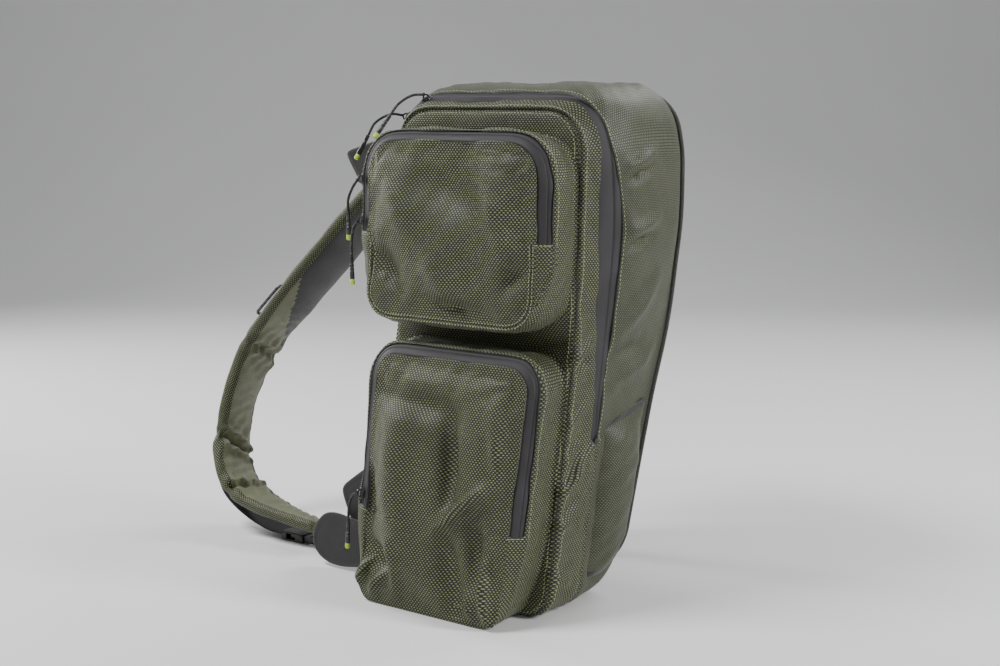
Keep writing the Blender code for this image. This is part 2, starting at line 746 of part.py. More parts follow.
def band(name, stations, thick, kind, collection, rounding):
    """A flat band lofted along stations of centre, width vector and width."""
    bm = bmesh.new()
    rings = []
    for k, (centre, wide, width) in enumerate(stations):
        ahead = stations[min(k + 1, len(stations) - 1)][0]
        behind = stations[max(k - 1, 0)][0]
        along = (Vector(ahead) - Vector(behind)).normalized()
        across = Vector(wide) - along * Vector(wide).dot(along)
        across.normalize()
        out = across.cross(along)
        half = width / 2
        deep = thick / 2
        cut = min(rounding, deep * 0.98)
        outline = [(-half + cut, -deep), (half - cut, -deep), (half, -deep + cut), (half, deep - cut),
                   (half - cut, deep), (-half + cut, deep), (-half, deep - cut), (-half, -deep + cut)]
        if cut > 0.6 * deep:
            outline = [(-half + cut, -deep), (half - cut, -deep), (half - 0.3 * cut, -0.7 * deep), (half, 0),
                       (half - 0.3 * cut, 0.7 * deep), (half - cut, deep), (-half + cut, deep),
                       (-half + 0.3 * cut, 0.7 * deep), (-half, 0), (-half + 0.3 * cut, -0.7 * deep)]
        centre = Vector(centre)
        rings.append([bm.verts.new(centre + across * a + out * b) for a, b in outline])
    count = len(rings[0])
    for low, high in zip(rings, rings[1:]):
        for a in range(count):
            b = (a + 1) % count
            bm.faces.new((low[a], low[b], high[b], high[a]))
    bm.faces.new(list(reversed(rings[0])))
    bm.faces.new(rings[-1])
    bmesh.ops.recalc_face_normals(bm, faces=bm.faces)
    mesh = bpy.data.meshes.new(name)
    bm.to_mesh(mesh)
    bm.free()
    return add_object(name, mesh, kind, collection)


def back_surface(z):
    """Depth of the outer face of the padded back at a height."""
    return FRONT_Y + lean(z) + depth_at(z) + CLEAR + BACK_PAD


def strap_stations(table, steps):
    """Stations of a strap from its table of shares; the root lies on the padded back."""
    rows = []
    for across, back, up, wx, wy, wz, share in table:
        rows.append((across * FRONT_WIDTH, FRONT_Y + back * DEPTH, up * FRONT_HEIGHT,
                     wx, wy, wz, share * STRAP_WIDTH))
    seat = back_surface(rows[2][2]) + 2 * CLEAR + STRAP_THICK / 2
    stations = []
    for row in smooth_route(rows, steps):
        x, y, z = row[:3]
        if z < rows[2][2] and len(stations) < 3 * steps:
            y = max(y, seat)
        stations.append(((x, y, z), row[3:6], row[6]))
    return stations


def strap_frame(table, share):
    """Centre, direction along and outward direction of a strap at a share of its table."""
    stations = strap_stations(table, 2)
    k = min(int(share * (len(stations) - 1)), len(stations) - 2)
    centre = Vector(stations[k][0])
    along = (Vector(stations[k + 1][0]) - centre).normalized()
    across = Vector(stations[k][1])
    across = (across - along * across.dot(along)).normalized()
    return centre, along, across, across.cross(along)


def flank_x(z, way):
    """Half width of the pack at a height and a way back from the front seam."""
    sections = gusset_sections()
    x = FRONT_WIDTH / 2
    for low, high in zip(sections, sections[1:]):
        start, end = low[1](z), high[1](z)
        if way <= end:
            share = max(way - start, 0.0) / max(end - start, 1e-6)
            return x + (low[2] + (high[2] - low[2]) * share) * bulge_at(z)
    return x + sections[-1][2] * bulge_at(z)


def flat_tab(name, outline, back, thick, kind, collection, bevel):
    """A flat tab in the XZ plane from outline points, at a depth."""
    bm = bmesh.new()
    front = [bm.verts.new((x, back - thick / 2, z)) for x, z in outline]
    rear = [bm.verts.new((x, back + thick / 2, z)) for x, z in outline]
    bm.faces.new(front)
    bm.faces.new(list(reversed(rear)))
    for a in range(len(outline)):
        b = (a + 1) % len(outline)
        bm.faces.new((front[b], front[a], rear[a], rear[b]))
    bmesh.ops.recalc_face_normals(bm, faces=bm.faces)
    mesh = bpy.data.meshes.new(name)
    bm.to_mesh(mesh)
    bm.free()
    obj = add_object(name, mesh, kind, collection)
    mod = obj.modifiers.new("edge", "BEVEL")
    mod.width = bevel
    mod.segments = 1
    mod.limit_method = "ANGLE"
    return obj


# Back panel, piping and side pocket


def build_back_panel(collection):
    """The padded back, a soft slab on the pack's back plane."""
    heights = side_heights()
    low = BACK_BASE_RISE + BACK_MARGIN
    high = FRONT_HEIGHT + 0.5 * TOP_RISE - BACK_MARGIN
    corner = HIGH_CORNER

    def ring(grow, way):
        half = FRONT_WIDTH / 2 - 0.5 * BACK_MARGIN + grow
        rise = low - grow
        points = rounded_ring(half, half, rise, high + grow, LOW_CORNER * 0.5, corner, heights,
                              lambda z: half, MAIN_ACROSS)
        return [Vector((x, FRONT_Y + lean(z) + depth_at(z) + CLEAR + way, z)) for x, z in points]

    rings = [ring(0.0, 0.0), ring(0.001, 0.45 * BACK_PAD), ring(-0.005, BACK_PAD)]
    columns, rows = MAIN_COLUMNS, MAIN_ROWS
    inner = fill_grid(rings[0], columns, rows, waist_row(), WAIST_Z)
    outer = fill_grid(rings[-1], columns, rows, waist_row(), WAIST_Z)
    lay_on_plane(inner, columns, rows, lambda z: depth_at(z) + CLEAR)
    lay_on_plane(outer, columns, rows, lambda z: depth_at(z) + CLEAR + BACK_PAD)
    mesh = skin(rings, columns, rows, inner, outer)
    return add_object("back_panel", mesh, "webbing", collection)


def build_back_piping(collection):
    """Round piping along the back seam."""
    ring = gusset_ring(gusset_sections()[-1])
    middle = Vector((0.0, 0.0, FRONT_HEIGHT / 2))
    stand_off = (PIPING + CLEAR) * 0.82
    points = []
    for k, point in enumerate(ring):
        ahead = ring[(k + 1) % len(ring)] - ring[k - 1]
        out = Vector((ahead.z, 0.0, -ahead.x)).normalized()
        if out.dot(point - middle) < 0:
            out.negate()
        points.append(point + out * stand_off + Vector((0.0, stand_off, 0.0)))
    return tube("back_piping", points, PIPING, "webbing", collection, closed=True)


def side_pocket_grid():
    """Outer surface of the side pocket over the right flank: rows up, columns back."""
    sections = gusset_sections()[3:8]
    rings = [gusset_ring(section) for section in sections]
    heights = side_heights()
    first = MAIN_COLUMNS + ARC_STEPS + 1
    grid = []
    row_indices = [first - 1, first, first + 1, first + 2, first + 3, first + 4]
    for r, index in enumerate(row_indices):
        row = []
        for c, ring in enumerate(rings):
            point = Vector(ring[index])
            if r == len(row_indices) - 1:
                slope = 0.25 + 0.75 * c / (len(rings) - 1)
                point = Vector(ring[index - 1]).lerp(Vector(ring[index]), slope)
            u = 2 * c / (len(rings) - 1) - 1
            v = 2 * r / (len(row_indices) - 1) - 1
            rise = max(1 - u ** 4, 0.0) * max(1 - v ** 4, 0.0)
            point.x += SIDE_POCKET_STAND_OFF + SIDE_POCKET_BULGE * rise
            row.append(point)
        grid.append(row)
    return grid


def build_side_pocket(collection):
    """The shallow pocket on the right flank."""
    grid = side_pocket_grid()
    bm = bmesh.new()
    verts = [[bm.verts.new(p) for p in row] for row in grid]
    for low, high in zip(verts, verts[1:]):
        for a in range(len(low) - 1):
            bm.faces.new((low[a], low[a + 1], high[a + 1], high[a]))
    mesh = bpy.data.meshes.new("side_pocket")
    bm.to_mesh(mesh)
    bm.free()
    pocket = add_object("side_pocket", mesh, "weave", collection)
    mod = pocket.modifiers.new("round", "SUBSURF")
    mod.levels = 1
    mod.render_levels = 1
    mod.boundary_smooth = "PRESERVE_CORNERS"
    thicken(pocket, POCKET_WALL)
    return pocket


# Straps, webbing, ring and buckle


def box(size, place):
    """A box mesh with its faces pointing out."""
    bm = bmesh.new()
    matrix = Matrix.Translation(place) @ Matrix.Diagonal((*size, 1.0))
    bmesh.ops.create_cube(bm, size=1.0, matrix=matrix)
    mesh = bpy.data.meshes.new("box")
    bm.to_mesh(mesh)
    bm.free()
    return mesh


def cut(obj, size, place, cutters, operation="DIFFERENCE"):
    """Cut a box from an object, or join one to it."""
    tool = bpy.data.objects.new(obj.name + "_tool", box(size, place))
    cutters.objects.link(tool)
    tool.display_type = "WIRE"
    tool.hide_render = True
    mod = obj.modifiers.new("cut", "BOOLEAN")
    mod.operation = operation
    mod.solver = "EXACT"
    mod.object = tool
    return obj


def build_buckle(collection, cutters):
    """A fastened side-release buckle: a socket with two side windows and a forked tongue."""
    y = FRONT_Y + BUCKLE_BACK
    socket = add_object("buckle_socket", box((BUCKLE_LONG, BUCKLE_WIDE, BUCKLE_HIGH),
                                             (BUCKLE_X, y, BUCKLE_Z)), "moulded", collection)
    room = (BUCKLE_LONG, BUCKLE_WIDE - 2 * BUCKLE_WALL, BUCKLE_HIGH - 2 * BUCKLE_WALL)
    cut(socket, room, (BUCKLE_X + 3 * BUCKLE_WALL, y, BUCKLE_Z), cutters)
    window = (0.45 * BUCKLE_LONG, 3 * BUCKLE_WIDE, BUCKLE_HIGH - 2 * BUCKLE_WALL)
    cut(socket, window, (BUCKLE_X - 0.08 * BUCKLE_LONG, y, BUCKLE_Z), cutters)
    plate_x = BUCKLE_X + (BUCKLE_LONG + PLATE_LONG) / 2 + BUCKLE_FIT
    tongue = add_object("buckle_tongue", box((PLATE_LONG, BUCKLE_WIDE - 2 * BUCKLE_WALL, BUCKLE_HIGH - 0.002),
                                             (plate_x, y, BUCKLE_Z)), "moulded", collection)
    inner = BUCKLE_WIDE - 2 * BUCKLE_WALL - 2 * BUCKLE_FIT
    thick = BUCKLE_HIGH - 2 * BUCKLE_WALL - 2 * BUCKLE_FIT
    reach = 0.80 * BUCKLE_LONG
    start = plate_x - reach / 2 - 0.004
    for side in (-1, 0, 1):
        place = (start, y + side * (inner - TINE) / 2, BUCKLE_Z)
        cut(tongue, (reach, TINE, thick), place, cutters, "UNION")
    slot = (0.005, WEBBING_WIDTH, 2 * BUCKLE_HIGH)
    cut(tongue, slot, (plate_x + 0.002, y, BUCKLE_Z), cutters)
    return socket, tongue


def build_strap_ring(collection):
    """The flat rectangular loop on the outer face of the left strap."""
    centre, along, across, out = strap_frame(LEFT_STRAP, RING_SHARE)
    if out.x > 0:
        out.negate()
    half_wide = WEBBING_WIDTH / 2 + 2 * RING_WIRE
    low = STRAP_THICK / 2 + CLEAR + RING_WIRE * 1.15 + RING_LIFT
    high = low + RING_TILT
    corners = []
    for a, w, lift in ((-1, -1, low), (-1, 1, low), (1, 1, high), (1, -1, high)):
        corners.append(centre + along * (a * RING_HALF_LONG) + across * (w * half_wide) + out * lift)
    points = []
    for k in range(4):
        here, ahead = corners[k], corners[(k + 1) % 4]
        for share in (0.1, 0.9):
            points.append(here.lerp(ahead, share))
    return tube("strap_ring", points, RING_WIRE, "moulded", collection, closed=True)


def build_straps(collection):
    """Both padded straps with the webbing at their low ends."""
    band("strap_left", strap_stations(LEFT_STRAP, 2), STRAP_THICK, "weave", collection, STRAP_THICK / 2)
    band("strap_right", strap_stations(RIGHT_STRAP, 2), STRAP_THICK, "weave", collection,
         STRAP_THICK / 2)


def build_webbing(collection):
    """The left and right straps' low webbing."""
    y = FRONT_Y + BUCKLE_BACK
    rows = [(a * FRONT_WIDTH, FRONT_Y + b * DEPTH, c * FRONT_HEIGHT) for a, b, c in HIGH_WEBBING]
    end_x = BUCKLE_X - BUCKLE_LONG / 2 - CLEAR
    rows += [(end_x - step, y, BUCKLE_Z) for step in (0.010, 0.004, 0.0)]
    stations = [(row, (0, 1, 0), WEBBING_WIDTH) for row in smooth_route(rows, 2)]
    band("webbing_high", stations, WEBBING_THICK, "webbing", collection, WEBBING_THICK / 4)
    start = BUCKLE_X + BUCKLE_LONG / 2 + BUCKLE_FIT + PLATE_LONG + CLEAR
    rows = [(start + step, y, BUCKLE_Z) for step in (0.0, 0.004, 0.010)]
    for off, back, up in LOW_WEBBING:
        z = up * FRONT_HEIGHT
        side = FRONT_WIDTH / 2 + bulge_at(z) + CLEAR + WEBBING_THICK / 2
        rows.append((-side - off * FRONT_WIDTH, FRONT_Y + back * DEPTH, z))
    stations = [(row, (0, 1, 0), WEBBING_WIDTH) for row in smooth_route(rows, 2)]
    band("webbing_low", stations, WEBBING_THICK, "webbing", collection, WEBBING_THICK / 4)
    before, end = [Vector(station[0]) for station in strap_stations(RIGHT_STRAP, 2)[-2:]]
    along = (end - before).normalized()
    rows = [end + along * CLEAR, end + along * (CLEAR + 0.004)]
    for off, up in RIGHT_WEBBING:
        z = up * FRONT_HEIGHT
        out = back_surface(z) + CLEAR + WEBBING_THICK / 2 + off * DEPTH
        rows.append(Vector((end.x, out, z)))
    stations = [(row, (1, 0, 0), 0.9 * WEBBING_WIDTH) for row in rows]
    band("webbing_right", stations, WEBBING_THICK, "webbing", collection, WEBBING_THICK / 4)


def build_tabs(collection):
    """Two black wings and one rounded tab sewn in the left front seam."""
    for name, outline, back in (("wing_top", TOP_WING, TOP_WING_BACK),
                                ("wing_low", LOW_WING, LOW_WING_BACK),
                                ("tab_round", ROUND_TAB, ROUND_TAB_BACK)):
        points = []
        for across, up in outline:
            z = up * FRONT_HEIGHT
            way = max(back - lean(z), 0.0)
            seat = flank_x(z, way) + CLEAR + 0.0002
            x = seat if across == 0.0 else FRONT_WIDTH / 2 + across * FRONT_WIDTH
            points.append((-x, z))
        flat_tab(name, points, FRONT_Y + back, WING_THICK, "webbing", collection, WING_EDGE)


# Zip pulls


def ring_frame(ring_a, ring_b, index):
    """Place, direction along and outward direction on a zip between two rings."""
    here = (ring_a[index] + ring_b[index]) / 2
    ahead = (ring_a[index + 1] + ring_b[index + 1]) / 2
    along = (ahead - here).normalized()
    across = (ring_b[index] - ring_a[index]).normalized()
    out = along.cross(across)
    middle = Vector((0.0, FRONT_Y + DEPTH / 2, FRONT_HEIGHT / 2))
    if out.dot(here - middle) < 0:
        out.negate()
    return (here + ahead) / 2, along, across, out.normalized()


def grip_mesh(long, wide, thick):
    """A slim moulded grip, a little wider at its low end."""
    bm = bmesh.new()
    bmesh.ops.create_cube(bm, size=1.0)
    for vert in bm.verts:
        low = vert.co.x > 0
        vert.co.x *= long
        vert.co.y *= wide * (1.0 if low else 0.8)
        vert.co.z *= thick * (1.0 if low else 0.8)
    bmesh.ops.bevel(bm, geom=list(bm.edges), offset=GRIP_BEVEL, segments=1, affect="EDGES")
    mesh = bpy.data.meshes.new("grip")
    bm.to_mesh(mesh)
    bm.free()
    return mesh


def build_pull(name, frame, route, collection):
    """A slider on its zip, its cord and its grip. Route: steps from the slider's top."""
    place, along, across, out = frame
    lift = CLEAR + SLIDER_STAND_OFF + SLIDER_HIGH / 2
    slider = box((SLIDER_LONG, SLIDER_WIDE, SLIDER_HIGH), (0, 0, 0))
    obj = add_object(name + "_slider", slider, "slider", collection)
    basis = Matrix((along, out.cross(along), out)).transposed().to_4x4()
    obj.matrix_world = Matrix.Translation(place + out * lift) @ basis
    top = place + out * (lift + SLIDER_HIGH / 2 + CLEAR)
    points = [top]
    for step in route:
        points.append(points[-1] + Vector(step))
    smooth = smooth_route(points, 3)
    leave = (Vector(smooth[1]) - Vector(smooth[0])).normalized().dot(out)
    start = Vector(smooth[0]) + out * CORD * math.sqrt(1.0 - leave * leave)
    tube(name + "_cord", [start] + [Vector(p) for p in smooth[1:]], CORD, "webbing", collection)
    end = Vector(smooth[-1])
    direction = (end - Vector(smooth[-2])).normalized()
    side = direction.cross(Vector((0.0, 1.0, 0.0))).normalized()
    flat = direction.cross(side)
    grip = add_object(name + "_grip", grip_mesh(GRIP_LONG, GRIP_WIDE, GRIP_THICK), "moulded", collection)
    basis = Matrix((direction, side, flat)).transposed().to_4x4()
    grip.matrix_world = Matrix.Translation(end + direction * (GRIP_LONG / 2 + CLEAR)) @ basis


def build_pulls(collection):
    """The visible zip pulls: two on the main zip, two on the upper pocket, one on the lower."""
    sections = gusset_sections()
    front, back = gusset_ring(sections[1]), gusset_ring(sections[3])
    corner = 2 * MAIN_COLUMNS + MAIN_ROWS
    build_pull("main_pull_a", ring_frame(front, back, corner), MAIN_A_ROUTE, collection)
    build_pull("main_pull_b", ring_frame(front, back, corner - 2), MAIN_B_ROUTE, collection)
    for pocket, name, places in ((UPPER, "upper_pull", ((-3, UPPER_A_ROUTE), (-1, UPPER_B_ROUTE))),
                                 (LOWER, "lower_pull", ((-1, LOWER_A_ROUTE),))):
        rings = pocket.sections()
        last = pocket.zip_span()[1]
        for letter, (step, route) in zip("ab", places):
            frame = ring_frame(rings[1], rings[2], last + step)
            build_pull(name + "_" + letter, frame, route, collection)


def main():
    """Build the rucksack."""
    clear_scene()
    rucksack = bpy.data.collections.new("fishing_rucksack")
    cutters = bpy.data.collections.new("cutters")
    bpy.context.scene.collection.children.link(rucksack)
    bpy.context.scene.collection.children.link(cutters)
    build_main_shell(rucksack)
    build_main_zip(rucksack)
    for pocket in (UPPER, LOWER):
        build_pocket(pocket, rucksack)
        build_pocket_zip(pocket, rucksack)
    build_side_pocket(rucksack)
    build_back_panel(rucksack)
    build_back_piping(rucksack)
    build_straps(rucksack)
    build_webbing(rucksack)
    build_buckle(rucksack, cutters)
    build_strap_ring(rucksack)
    build_tabs(rucksack)
    build_pulls(rucksack)


main()
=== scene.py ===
"""Fishing rucksack: the sewn cloth, zips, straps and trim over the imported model, with its stage.

Metres, +Z up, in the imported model's frame. Every piece is built at its real size and place, so its
object sits at the origin, unturned and unscaled.
"""
import json
import math

import bmesh
import bpy
import numpy as np
from bpy.props import FloatProperty, FloatVectorProperty, PointerProperty
from mathutils import Matrix, Vector
from mathutils.bvhtree import BVHTree

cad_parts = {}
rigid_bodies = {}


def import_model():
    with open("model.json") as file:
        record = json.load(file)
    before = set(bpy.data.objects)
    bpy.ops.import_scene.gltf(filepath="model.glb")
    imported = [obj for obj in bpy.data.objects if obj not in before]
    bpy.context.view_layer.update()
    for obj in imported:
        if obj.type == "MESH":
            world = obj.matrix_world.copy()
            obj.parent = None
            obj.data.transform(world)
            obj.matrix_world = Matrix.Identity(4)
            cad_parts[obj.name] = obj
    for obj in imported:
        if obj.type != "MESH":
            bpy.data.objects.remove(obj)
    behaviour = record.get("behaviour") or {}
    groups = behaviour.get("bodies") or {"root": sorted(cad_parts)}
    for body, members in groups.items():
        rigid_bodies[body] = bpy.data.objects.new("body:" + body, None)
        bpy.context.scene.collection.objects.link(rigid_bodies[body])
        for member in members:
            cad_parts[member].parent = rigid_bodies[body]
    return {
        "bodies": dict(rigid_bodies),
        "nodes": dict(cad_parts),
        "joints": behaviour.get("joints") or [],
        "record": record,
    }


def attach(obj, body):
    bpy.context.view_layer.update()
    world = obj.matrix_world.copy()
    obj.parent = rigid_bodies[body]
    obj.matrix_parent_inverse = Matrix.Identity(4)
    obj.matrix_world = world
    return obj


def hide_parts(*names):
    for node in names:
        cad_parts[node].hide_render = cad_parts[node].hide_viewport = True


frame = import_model()

bl_info = {
    "name": "Fishing rucksack",
    "version": (1, 0, 0),
    "blender": (4, 5, 0),
    "location": "View3D > Sidebar > Rucksack",
    "description": "Models the cloth, zips, straps and trim of a fishing rucksack",
    "category": "Object",
}

# Main pack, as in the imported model
FRONT_WIDTH = 0.210
FRONT_HEIGHT = 0.463
DEPTH = 0.155
LOW_TAPER = 0.038
FRONT_Y = -0.002
WAIST_Z = 0.250
LOW_LEAN = 0.167
HIGH_LEAN = 0.020
SIDE_BULGE = 0.030
TOP_RISE = 0.027
BACK_BASE_RISE = 0.024
LOW_CORNER = 0.025
LOW_CORNER_GROWTH = 0.3
HIGH_CORNER = 0.034
HIGH_CORNER_GROWTH = 0.45
CLEAR = 0.0003
MAIN_ZIP_WIDTH = 0.026
MAIN_ZIP_END_Z = 0.157
STRIP_AT_TOP = 0.006
STRIP_AT_SIDE = 0.034
TAPE_TAIL = 0.001
SLIT_DEEP = 0.0015
SLIT_LIP = 0.0006
LAP_LIFT = 0.0010
HEM_Z = 0.118
HEM_SLOPE = 0.95
HEM_END = 0.062
HEM_LIFT = 0.0028

# Front pockets
POCKET_ZIP_WIDTH = 0.012
BAND_TILT = math.radians(40.0)
BAND_OUT = math.cos(BAND_TILT)
BAND_BACK = math.sin(BAND_TILT)
BAND_LIP = 0.002
BAND_RIM = 2 * BAND_LIP + POCKET_ZIP_WIDTH
TOP_REACH = 0.85
LOW_REACH = 0.25
FACE_CROWN = 0.006
SIDE_POCKET_BULGE = 0.014
SIDE_POCKET_STAND_OFF = 0.0026
EAR_LONG = 0.054
EAR_THICK = 0.0009
EAR_ROWS = 9
EAR_COLUMNS = 5

# Back, straps, webbing and tabs
BACK_PAD = 0.008
BACK_MARGIN = 0.012
BACK_CHANNELS = (0.100, 0.170, 0.240, 0.310, 0.380)
SIDE_CHANNEL_X = 0.028
CHANNEL_DEEP = 0.0034
SIDE_CHANNEL_DEEP = 0.0030
CHANNEL_WIDE = 0.0045
PIPING = 0.0022
STRAP_WIDTH = 0.065
STRAP_THICK = 0.016
STRAP_HEM = 0.006
STRAP_FULLNESS = 0.86
KINK_DEEP = 0.0030
KINK_WIDE = 0.0036
KINK_SLANT = 0.22
PUCKER_HIGH = 0.0008
PUCKER_LONG = 0.0125
LINING_START = 0.565
LINING_SLANT = 0.075
WEBBING_WIDTH = 0.038
WEBBING_THICK = 0.0024
WING_THICK = 0.003
RING_WIRE = 0.0018
RING_HALF_LONG = 0.022
RING_CORNER = 0.0055
RING_TILT = 0.001
RING_LIFT = 0.0028
RING_SHARE = 0.54
BUCKLE_LONG = 0.030
BUCKLE_Z = 0.0050
BUCKLE_BACK = 0.035
BUCKLE_ACROSS = -1.2476
BUCKLE_X = BUCKLE_ACROSS * FRONT_WIDTH
BUCKLE_FIT = 0.0005
PLATE_LONG = 0.016

# Stitches: place along one, thickness and lift, as shares of its length and its thickness
STITCH_PROFILE = ((-0.5, 0.25, -0.3), (-0.32, 1.0, 0.25), (0.32, 1.0, 0.25), (0.5, 0.25, -0.3))

# Zip pulls
SLIDER_LONG = 0.011
SLIDER_WIDE = 0.008
SLIDER_HIGH = 0.005
NOSE_TAPER = 0.74
SLIDER_STAND_OFF = 0.0004
CORD = 0.0013
GRIP_TIP = 0.0217
GRIP_PROFILE = (
    # along, half wide, half thick
    (0.0000, 0.0012, 0.0012), (0.0004, 0.0018, 0.0017), (0.0022, 0.0020, 0.0018),
    (0.0030, 0.0021, 0.0015), (0.0060, 0.0022, 0.0015), (0.0064, 0.0020, 0.0013),
    (0.0072, 0.0020, 0.0013), (0.0076, 0.0023, 0.0016), (0.0094, 0.0023, 0.0016),
    (0.0098, 0.0021, 0.0013), (0.0106, 0.0021, 0.0013), (0.0110, 0.0024, 0.0017),
    (0.0128, 0.0024, 0.0017), (0.0132, 0.0022, 0.0014), (0.0140, 0.0022, 0.0014),
    (0.0144, 0.0025, 0.0018), (0.0208, 0.0026, 0.0018), (0.0212, 0.0024, 0.0016),
    (GRIP_TIP, 0.0024, 0.0016), (0.0222, 0.0026, 0.0019), (0.0260, 0.0027, 0.0020),
    (0.0267, 0.0024, 0.0018), (0.0270, 0.0018, 0.0012))

# Room that the side points leave at the rounded corners, and mesh counts
MAIN_LOW_ROOM = 1.1
MAIN_HIGH_ROOM = 1.25
POCKET_ROOM = 1.45
ARC_STEPS = 2
MAIN_ACROSS = 5
POCKET_ACROSS = 4
DETAIL = 3
FACE_ROWS = 3
SLIT_ROW = 4

DRAPE_FRAMES = 20
DRAPE_CAP = 0.005
CLOTH_SETTINGS = {
    "quality": 5, "mass": 0.15, "tension_stiffness": 15.0, "compression_stiffness": 15.0,
    "shear_stiffness": 5.0, "bending_stiffness": 0.4, "use_pressure": True,
    "uniform_pressure_force": 4.0, "shrink_min": -0.016,
}

GUSSET = (
    # name, share, bulge, rise, lift
    ("side_a", 0.16, 0.92, 0.86, 0.00),
    ("side_b", 0.42, 1.00, 0.98, 0.00),
    ("side_c", 0.72, 0.97, 1.00, 0.06),
    ("side_d", 0.92, 0.80, 0.86, 0.40),
    ("back_seam", 1.00, 0.58, 0.56, 1.00),
)
BULGE_BY_HEIGHT = (
    # height share, bulge share
    (0.00, 0.00), (0.20, 0.02), (0.39, 0.06), (0.54, 0.28), (0.65, 0.66), (0.77, 1.00),
    (0.88, 1.00), (1.00, 0.80),
)
FLANK_FOLDS = (
    # side, height share, depth share, height reach, depth reach, push
    (1, 0.86, 0.44, 0.10, 0.16, -0.030),
    (1, 0.70, 0.46, 0.09, 0.15, -0.036),
    (1, 0.50, 0.62, 0.22, 0.26, 0.030),
    (1, 0.36, 0.40, 0.16, 0.20, -0.020),
    (-1, 0.84, 0.44, 0.10, 0.16, -0.026),
    (-1, 0.64, 0.46, 0.11, 0.15, -0.032),
    (-1, 0.48, 0.62, 0.22, 0.26, 0.024),
)
UPPER_DENTS = (
    # across, up, half width, half height, tilt, deep
    (-0.45, 0.30, 0.30, 0.26, 30, 0.7),
    (0.55, 0.48, 0.20, 0.34, -12, 0.6),
    (0.0, 0.86, 0.60, 0.14, 0, 0.5),
)
LOWER_DENTS = (
    # across, up, half width, half height, tilt, deep
    (-0.30, 0.55, 0.16, 0.30, -14, 1.2),
    (0.22, 0.62, 0.15, 0.34, 10, 1.4),
    (0.62, 0.30, 0.14, 0.26, -20, 1.0),
    (-0.78, 0.10, 0.22, 0.12, 35, 1.0),
)
LEFT_STRAP = (
    # across, back, up, width x, width y, width z, width share
    (-0.205, 1.100, 0.840, 1.0, 0.00, 0.00, 1.00),
    (-0.210, 1.100, 0.895, 1.0, 0.00, 0.00, 1.00),
    (-0.270, 1.290, 0.955, 1.0, 0.10, 0.10, 1.00),
    (-0.470, 1.370, 0.985, 0.5, 0.90, 0.15, 1.00),
    (-0.720, 1.220, 0.955, 0.1, 1.00, 0.00, 1.00),
    (-0.950, 1.040, 0.885, 0.1, 1.00, 0.00, 1.00),
    (-1.147, 0.855, 0.781, 0.18, 1.00, 0.00, 1.00),
    (-1.401, 0.661, 0.628, 0.22, 1.00, 0.00, 1.00),
    (-1.582, 0.532, 0.517, 0.16, 1.00, 0.00, 1.00),
    (-1.740, 0.468, 0.424, 0.00, 1.00, 0.00, 0.97),
    (-1.801, 0.339, 0.307, -0.15, 1.00, 0.00, 0.92),
    (-1.805, 0.274, 0.219, -0.15, 1.00, 0.00, 0.85),
    (-1.748, 0.177, 0.162, -0.10, 1.00, 0.00, 0.80),
    (-1.600, 0.113, 0.096, 0.0, 1.00, 0.00, 0.80),
    (-1.280, 0.048, 0.069, 0.0, 1.00, 0.00, 0.75),
    (-1.010, 0.030, 0.055, 0.0, 1.00, 0.00, 0.55),
)
RIGHT_STRAP = (
    # across, back, up, width x, width y, width z, width share
    (0.150, 1.100, 0.840, 1.0, 0.00, 0.00, 1.00),
    (0.150, 1.100, 0.895, 1.0, 0.00, 0.00, 1.00),
    (0.140, 1.215, 0.945, 1.0, 0.00, 0.00, 1.00),
    (0.120, 1.340, 0.955, 1.0, 0.00, 0.00, 1.00),
    (0.090, 1.480, 0.880, 1.0, 0.00, 0.00, 1.00),
    (0.050, 1.560, 0.740, 1.0, 0.00, 0.00, 1.00),
    (0.000, 1.570, 0.580, 1.0, 0.00, 0.00, 1.00),
    (-0.050, 1.510, 0.420, 1.0, 0.00, 0.00, 1.00),
    (-0.100, 1.400, 0.270, 1.0, 0.00, 0.00, 1.00),
    (-0.130, 1.270, 0.140, 1.0, 0.00, 0.00, 1.00),
    (-0.140, 1.130, 0.050, 1.0, 0.00, 0.00, 0.95),
    (-0.145, 0.970, 0.0200, 1.0, 0.00, 0.00, 0.80),
    (-0.150, 0.850, 0.0180, 1.0, 0.00, 0.00, 0.60),
)
HIGH_WEBBING = ((-1.812, 0.220, 0.1500), (-1.745, 0.200, 0.0850), (-1.600, 0.200, 0.0420),
                (-1.450, 0.215, 0.0160))
LOW_WEBBING = ((0.240, 0.265, 0.0100), (0.076, 0.325, 0.0120), (0.019, 0.370, 0.0350),
               (0.000, 0.390, 0.0780), (0.000, 0.395, 0.1120))
RIGHT_WEBBING = ((0.050, 0.045), (0.000, 0.092), (0.000, 0.125), (0.000, 0.165))
MAIN_A_ROUTE = ((-0.008, -0.009, 0.001), (-0.009, -0.013, -0.008), (-0.004, -0.006, -0.012))
MAIN_B_ROUTE = ((-0.006, -0.012, -0.001), (-0.007, -0.012, -0.008), (-0.004, -0.008, -0.011))
UPPER_A_ROUTE = ((-0.006, -0.001, -0.008), (-0.006, 0.000, -0.012), (-0.001, 0.001, -0.012))
UPPER_B_ROUTE = ((-0.004, -0.002, -0.008), (0.000, -0.003, -0.013), (0.002, -0.002, -0.013))
LOWER_A_ROUTE = ((-0.006, 0.000, -0.004), (-0.005, 0.001, -0.012), (-0.001, 0.000, -0.014))

# Camera, with its turn and rise seen from the aimed point, and the floor with its sweep behind
CAMERA_AIM = (-0.0367, 0.080, 0.240)
CAMERA_TURN = 36.0
CAMERA_RISE = 8.153
CAMERA_ROLL = 0.390
CAMERA_AWAY = 1.506
CAMERA_LENS = 53.87
CAMERA_SENSOR = 36.0
FLOOR_Z = -0.0002
SWEEP_START = 2.2
SWEEP_RADIUS = 1.6


# Shapes shared by the pieces

